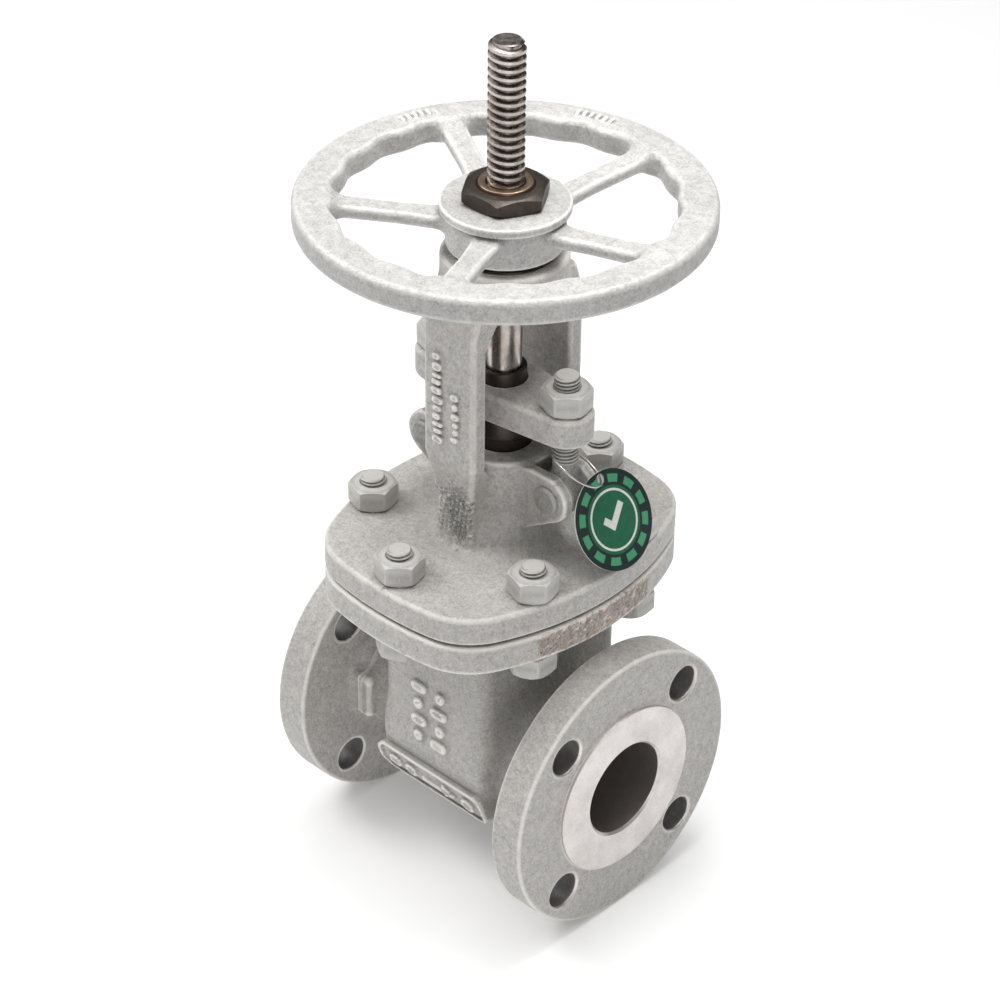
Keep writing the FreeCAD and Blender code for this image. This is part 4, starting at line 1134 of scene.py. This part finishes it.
# Studs and nuts of the bonnet joint
THREADED_END = 20.0
SHANK_R = STUD_R - 0.8
shank = [
    (0.0, STUDS_FOOT + THREADED_END - 1.5),
    (SHANK_R, STUDS_FOOT + THREADED_END - 1.5),
    (SHANK_R, STUDS_TOP - THREADED_END + 1.5),
    (0.0, STUDS_TOP - THREADED_END + 1.5),
]
stud = [
    stud_thread(STUDS_FOOT, STUDS_FOOT + THREADED_END),
    stud_thread(STUDS_TOP - THREADED_END, STUDS_TOP),
    turned(shank, 32),
]
nut_height = UPPER_NUTS_TOP - UPPER_NUTS_FOOT
upper_nut = stud_nut(nut_height, UPPER_NUT_TURN)
lower_nut = stud_nut(nut_height, 0.0)
studs = [moved(part, x, y) for x, y in STUD_PLACES for part in stud]
uppers = [moved(upper_nut, x, y, UPPER_NUTS_FOOT) for x, y in STUD_PLACES]
lowers = [moved(lower_nut, x, y, LOWER_NUTS_FOOT) for x, y in STUD_PLACES]
# The fasteners' darker enamel is painted shade.
add("joint_studs", together(*studs), SHADED_FASTENER, "valve_body", "fastener_paint", "bonnet_studs")
add("joint_nuts_upper", together(*uppers), SHADED_FASTENER, "valve_body", "fastener_paint", "bonnet_nuts_upper")
add("joint_nuts_lower", together(*lowers), SHADED_FASTENER, "valve_body", "fastener_paint", "bonnet_nuts_lower")

# Eyebolts, their pins and their nuts
HALF_PIN = [(0.0, 0.0, 0), (6.4, 0.0, 0.5), (7.0, 0.6, 0.3), (7.0, 2.2, 0.2), (5.0, 2.2, 0)]
pin_ends = [(r, inwards - PIN_HALF) for r, inwards, _ in HALF_PIN]
pin_ends += [(r, PIN_HALF - inwards) for r, inwards, _ in HALF_PIN[::-1]]
pin_radii = [round_r for *_, round_r in HALF_PIN + HALF_PIN[::-1]]
pin = swapped(turned(eased(pin_ends, pin_radii, 2), 48), [0, 2, 1])
eye_points, eye_quads = surface_of(eye_field, (-12, -8, 147), (12, 8, 179), 0.7 * coarse)
eye = (settle(eye_field, eye_points, 1), eye_quads)
sides = (-EAR_X, EAR_X)
eyes = [moved(eye, x) for x in sides] + [moved(stud_thread(177.5, EYEBOLTS_TOP), x) for x in sides]
pins = [moved(pin, x, 0.0, EAR_Z) for x in sides]
gland_nut = stud_nut(GLAND_NUTS_TOP - GLAND_NUTS_FOOT, UPPER_NUT_TURN)
gland_nuts = [moved(gland_nut, x, 0.0, GLAND_NUTS_FOOT) for x in sides]
add("gland_eyebolts", together(*eyes), SHADED_FASTENER, "valve_body", "fastener_paint", "eyebolts", degrees=40.0)
add("gland_pins", together(*pins), SHADED_FASTENER, "valve_body", "fastener_paint", "eyebolt_pins")
add("gland_eyebolt_nuts", together(*gland_nuts), SHADED_FASTENER, "valve_body", "fastener_paint", "gland_nuts")

# Stem, its sleeve nut and what is turned to fit round it, each profile as (radius, height)
shape = {"left": True, "crest": THREAD_LAND, "root": THREAD_LAND, "segments": 96}
stem_thread = threaded(STEM_R, STEM_R - THREAD_DEPTH, THREAD_PITCH, THREAD_START, STEM_TOP, 2.2, **shape)
STEM_PROFILE = [
    (0.0, STEM_FOOT),
    (10.9, STEM_FOOT),
    (10.9, STEM_FOOT + 6.0),
    (7.0, STEM_FOOT + 6.6),
    (7.0, 108.2),
    (12.0, 108.2),
    (12.0, 112.0),
    (STEM_R, 112.4),
    (STEM_R, THREAD_START - 4.0),
    (STEM_R - 1.0, THREAD_START - 3.0),
    (STEM_R - 1.0, THREAD_START + 2.0),
    (0.0, THREAD_START + 2.0),
]
stem = together(stem_thread, turned(STEM_PROFILE, 64))
add("threaded_stem", stem, STEM, "stem_and_wedge", "stem_steel", "stem", degrees=30.0)

# Each corner as (radius, height, rounding)
FOLLOWER = [
    (9.15, FOLLOWER_FOOT, 0),
    (14.3, FOLLOWER_FOOT, 0.8),
    (14.3, 179.0, 0.5),
    (17.0, 179.0, 0.8),
    (17.0, 190.0, 0.8),
    (11.5, 190.0, 0),
    (11.5, FOLLOWER_TOP, 0.8),
    (9.15, FOLLOWER_TOP, 0.4),
]
CAP_RING = [(16.3, CAP_FOOT, 0), (24.9, CAP_FOOT, 0), (24.9, CAP_TOP, 0.8), (16.3, CAP_TOP, 0.6)]
SLEEVE = [
    (9.3, SLEEVE_FOOT, 0.5),
    (15.8, SLEEVE_FOOT, 0.6),
    (15.8, SLEEVE_FOOT + 9, 0),
    (21.8, SLEEVE_FOOT + 9, 0.4),
    (21.8, SLEEVE_FOOT + 15, 0.4),
    (15.8, SLEEVE_FOOT + 15, 0),
    (15.8, 279.0, 0),
    (14.9, 279.0, 0),
    (14.9, 302.0, 0),
    (13.2, 302.0, 0),
    (13.2, SLEEVE_TOP, 0.7),
    (9.3, SLEEVE_TOP, 0.7),
]
for name, corners, segments, finish, body, slot, node in (
    ("follower_bush", FOLLOWER, 72, BLACK, "valve_body", "dark_steel", "gland_follower"),
    ("yoke_cap_ring", CAP_RING, 96, BLACK, "valve_body", "dark_steel", "yoke_cap"),
    ("sleeve_nut", SLEEVE, 96, BRONZE, "handwheel_assembly", "bronze", "stem_nut"),
):
    profile = eased([corner[:2] for corner in corners], [corner[2] for corner in corners], 3)
    add(name, turned(profile, segments), finish, body, slot, node)

height = LOCK_NUT_TOP - LOCK_NUT_FOOT
lock = hexagon_nut(LOCK_NUT_FLATS_R, height, LOCK_NUT_BORE_R, LOCK_NUT_TURN, segments=180)
lock = moved(lock, z=LOCK_NUT_FOOT)
add("wheel_lock_nut", lock, BLACK, "handwheel_assembly", "dark_steel", "handwheel_nut")

# The hang tag: a laminated card with plain rings and a tick, on a wire loop
TAG_LOW, TAG_HIGH = span("tag_disc")
TAG_MIDDLE = (TAG_LOW + TAG_HIGH) / 2
TAG_R = (TAG_HIGH[1] - TAG_LOW[1]) / 2
TAG_OUT = np.array([math.cos(TAG_TILT), 0.0, math.sin(TAG_TILT)])
TAG_UP = np.array([-math.sin(TAG_TILT), 0.0, math.cos(TAG_TILT)])
TAG_SIDE = np.array([0.0, 1.0, 0.0])
TAG_RINGS = [0.4, 3.0, 6.0, 9.0, 12.6, 14.2, 15.4, 17.0, 18.4, 19.2, 20.4, 21.4, 22.4, 23.4, 24.3, TAG_R]
TAG_SECTORS = 240
DASH_SECTORS, DASH_INKED = 20, 12
GREEN, WHITE, MINT, DARK = range(4)  # the card's material slots
TICK = [(-7.5, 0.6), (-5.0, 3.2), (-1.8, 0.0), (6.0, 7.8), (8.6, 5.2), (-1.8, -5.2)]
TICK_LIFTS = (0.32, 0.46)


def on_card(u, v, lift):
    """A point over the curled card, lifted off its middle plane."""
    bend = lift - TAG_CURL * (u / TAG_R) ** 2
    flat = np.multiply.outer(u, TAG_SIDE) + np.multiply.outer(v, TAG_UP)
    return TAG_MIDDLE + flat + np.multiply.outer(bend, TAG_OUT)


def ink_at(r, sector):
    """The slot of the ink printed at a radius and a sector."""
    if r < 14.2 or 15.4 <= r < 17.0:
        return GREEN
    if r < 15.4:
        return WHITE
    return MINT if 18.4 < r < 22.4 and sector % DASH_SECTORS < DASH_INKED else DARK


def tag_card():
    """The card: two printed faces with a hole through them, and a white edge."""
    around = TAG_SECTORS
    angle = np.arange(around) * 2 * math.pi / around
    flat = np.array([(r * math.cos(a), r * math.sin(a)) for r in TAG_RINGS for a in angle])
    hole = np.array([0.0, TAG_HOLE_UP])
    gap = np.hypot(*(flat - hole).T)
    reach = 4.2
    push = np.where(gap < reach, TAG_HOLE_R + (gap / reach) * (reach - TAG_HOLE_R), gap)
    spread = hole + (flat - hole) / np.maximum(gap, 1e-6)[:, None] * push[:, None]
    rim = np.hypot(*flat.T) > TAG_R - 0.01
    spread[rim] = flat[rim]
    front = on_card(*spread.T, TAG_HALF_THICK)
    back = front - 2 * TAG_HALF_THICK * TAG_OUT
    total = len(front)
    faces, inks = [], []

    def both_sides(face, ink):
        faces.extend([face, [q + total for q in face[::-1]]])
        inks.extend([ink, WHITE])

    for i in range(len(TAG_RINGS) - 1):
        for k in range(around):
            m = (k + 1) % around
            quad = [i * around + k, i * around + m, (i + 1) * around + m, (i + 1) * around + k]
            middle = flat[quad].mean(0)
            if np.hypot(*(middle - hole)) >= 0.9:
                both_sides(quad[::-1], ink_at(float(np.hypot(*middle)), k))
    both_sides(list(range(around)), GREEN)
    edge = total - around
    for k in range(around):
        m = (k + 1) % around
        faces.append([edge + k, edge + m, total + edge + m, total + edge + k])
        inks.append(WHITE)
    piece = new_piece("hang_tag_card", np.concatenate([front, back]), faces, TAG_GREEN, smooth=False)
    for extra in (TAG_WHITE, TAG_MINT, TAG_DARK):
        piece.data.materials.append(extra)
    piece.data.polygons.foreach_set("material_index", inks)
    return piece


finished(tag_card(), "hang_tag", "tag", "tag_disc")

n = len(TICK)
tick_points = [on_card(u, v, lift) for lift in TICK_LIFTS for u, v in TICK]
tick_faces = [tuple(range(n, 2 * n)), tuple(range(n))[::-1]]
tick_faces += [(i, (i + 1) % n, n + (i + 1) % n, n + i) for i in range(n)]
add("hang_tag_tick", (np.array(tick_points), tick_faces), TAG_WHITE, "hang_tag", "tag")


def wire_loop(along, across, turns=240, sides=16):
    """The tag's ring: a round wire bent into a circle in the plane of two directions."""
    along, across = (np.array(v) / np.linalg.norm(v) for v in (along, across))
    t = np.arange(turns)[:, None] * 2 * math.pi / turns
    a = np.arange(sides)[None, :, None] * 2 * math.pi / sides
    out = np.cos(t) * along + np.sin(t) * across
    middle = sum(span("tag_ring")) / 2 + out * RING_R
    tube = middle[:, None] + RING_WIRE_R * (np.cos(a) * out[:, None] + np.sin(a) * np.cross(along, across))
    return np.concatenate([tube.reshape(-1, 3), tube[0]]), grid_faces(turns + 1, sides)


loop = wire_loop((0.496, 0.643, -0.582), (-0.79, 0.61, 0.0))
add("tag_wire_loop", loop, WIRE, "valve_body", "wire", "tag_ring")

# CAD nodes that keep their shape get their finish
for node, finish in (
    ("seat_ring_inlet", BRIGHT),
    ("seat_ring_outlet", BRIGHT),
    ("wedge", BRIGHT),
    ("backseat_bushing", BRIGHT),
    ("thrust_washer_lower", BRIGHT),
    ("thrust_washer_upper", BRIGHT),
    ("handwheel_key", BRIGHT),
    ("packing_rings", PACKING),
    ("bonnet_gasket", GASKET),
):
    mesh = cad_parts[node].data
    mesh.materials.clear()
    mesh.materials.append(finish)


# Floor, light and camera ---------------------------------------------------------------------------

FLOOR_HALF = 4000.0
YAW, PITCH, ROLL = 2.339, -0.594, 0.011
CAMERA_PLACE = (0.87764, -0.909885, 0.986842)


def studio_floor():
    """A wide pale floor under the flanges."""
    p = Paint("studio_floor")
    uneven = p.spread(p.noise(3.0, 2.0), 0.3, 0.7)
    p.feed("Base Color", p.blend(uneven, (0.85, 0.85, 0.85), (0.88, 0.88, 0.88)))
    p.feed("Roughness", p.spread(p.noise(8.0), 0.3, 0.7, 0.75, 0.85))
    p.bumps((p.noise(200.0), 0.0001, 0.2))
    p.set(Emission_Color=(1.0, 1.0, 1.0, 1.0), Emission_Strength=0.14)
    corners = [(-1, -1), (1, -1), (1, 1), (-1, 1)]
    points = [(x * FLOOR_HALF, y * FLOOR_HALF, BODY_LOW[2] - 0.05) for x, y in corners]
    new_piece("floor", points, [(0, 1, 2, 3)], p.material, smooth=False)


def area_light(name, place, target, size, power):
    data = bpy.data.lights.new(name, "AREA")
    data.shape = "DISK"
    data.size = size
    data.energy = power
    lamp = bpy.data.objects.new(name, data)
    bpy.context.scene.collection.objects.link(lamp)
    lamp.location = place
    lamp.rotation_euler = (Vector(target) - Vector(place)).to_track_quat("-Z", "Y").to_euler()


def studio_sky():
    """A soft overhead light without edges, bright round one direction. Behind the floor it shows pale."""
    world = bpy.data.worlds.new("studio")
    world.use_nodes = True
    sky = Nodes(world.node_tree)
    direction = sky.node("ShaderNodeTexCoord").outputs["Generated"]
    brightest = Vector((-0.1, -0.05, 1.0)).normalized()
    nearness = sky.node("ShaderNodeVectorMath", {0: direction, 1: brightest}, operation="DOT_PRODUCT")
    limits = {"From Min": 0.5, "From Max": 1.0, "To Min": 0.05, "To Max": 1.9}
    lobe = sky.node(
        "ShaderNodeMapRange", {"Value": nearness.outputs["Value"], **limits}, interpolation_type="SMOOTHSTEP"
    )
    seen = sky.node("ShaderNodeLightPath").outputs["Is Camera Ray"]
    shown = sky.node("ShaderNodeMix", {"Factor": seen, "A": lobe.outputs["Result"], "B": 0.9})
    backdrop = sky.tree.nodes["Background"]
    backdrop.inputs["Color"].default_value = (1.0, 1.0, 1.0, 1.0)
    sky.tree.links.new(shown.outputs["Result"], backdrop.inputs["Strength"])
    bpy.context.scene.world = world


def studio_camera():
    """A camera at the photograph's viewing angle."""
    forward = Vector((math.cos(PITCH) * math.cos(YAW), math.cos(PITCH) * math.sin(YAW), math.sin(PITCH)))
    right = forward.cross(Vector((0.0, 0.0, 1.0))).normalized()
    upward = right.cross(forward)
    tilted_right = right * math.cos(ROLL) + upward * math.sin(ROLL)
    tilted_up = upward * math.cos(ROLL) - right * math.sin(ROLL)
    data = bpy.data.cameras.new("camera")
    data.sensor_width = 36.0
    data.lens = 110.52
    data.clip_start = 0.01
    camera = bpy.data.objects.new("camera", data)
    turn = Matrix((tilted_right, tilted_up, -forward)).transposed()
    camera.matrix_world = Matrix.Translation(CAMERA_PLACE) @ turn.to_4x4()
    bpy.context.scene.collection.objects.link(camera)
    bpy.context.scene.camera = camera


studio_floor()
middle = (0.0, 0.0, 0.15)
area_light("overhead_lamp", (0.05, 0.1, 0.85), middle, 0.35, 3.6)
area_light("left_light", (-0.65, -0.45, 0.95), middle, 0.5, 5.0)
area_light("front_light", (1.1, -0.75, 0.4), (0.0, 0.0, 0.0), 0.6, 3.4)
studio_sky()
bpy.context.scene.view_settings.view_transform = "Standard"
studio_camera()
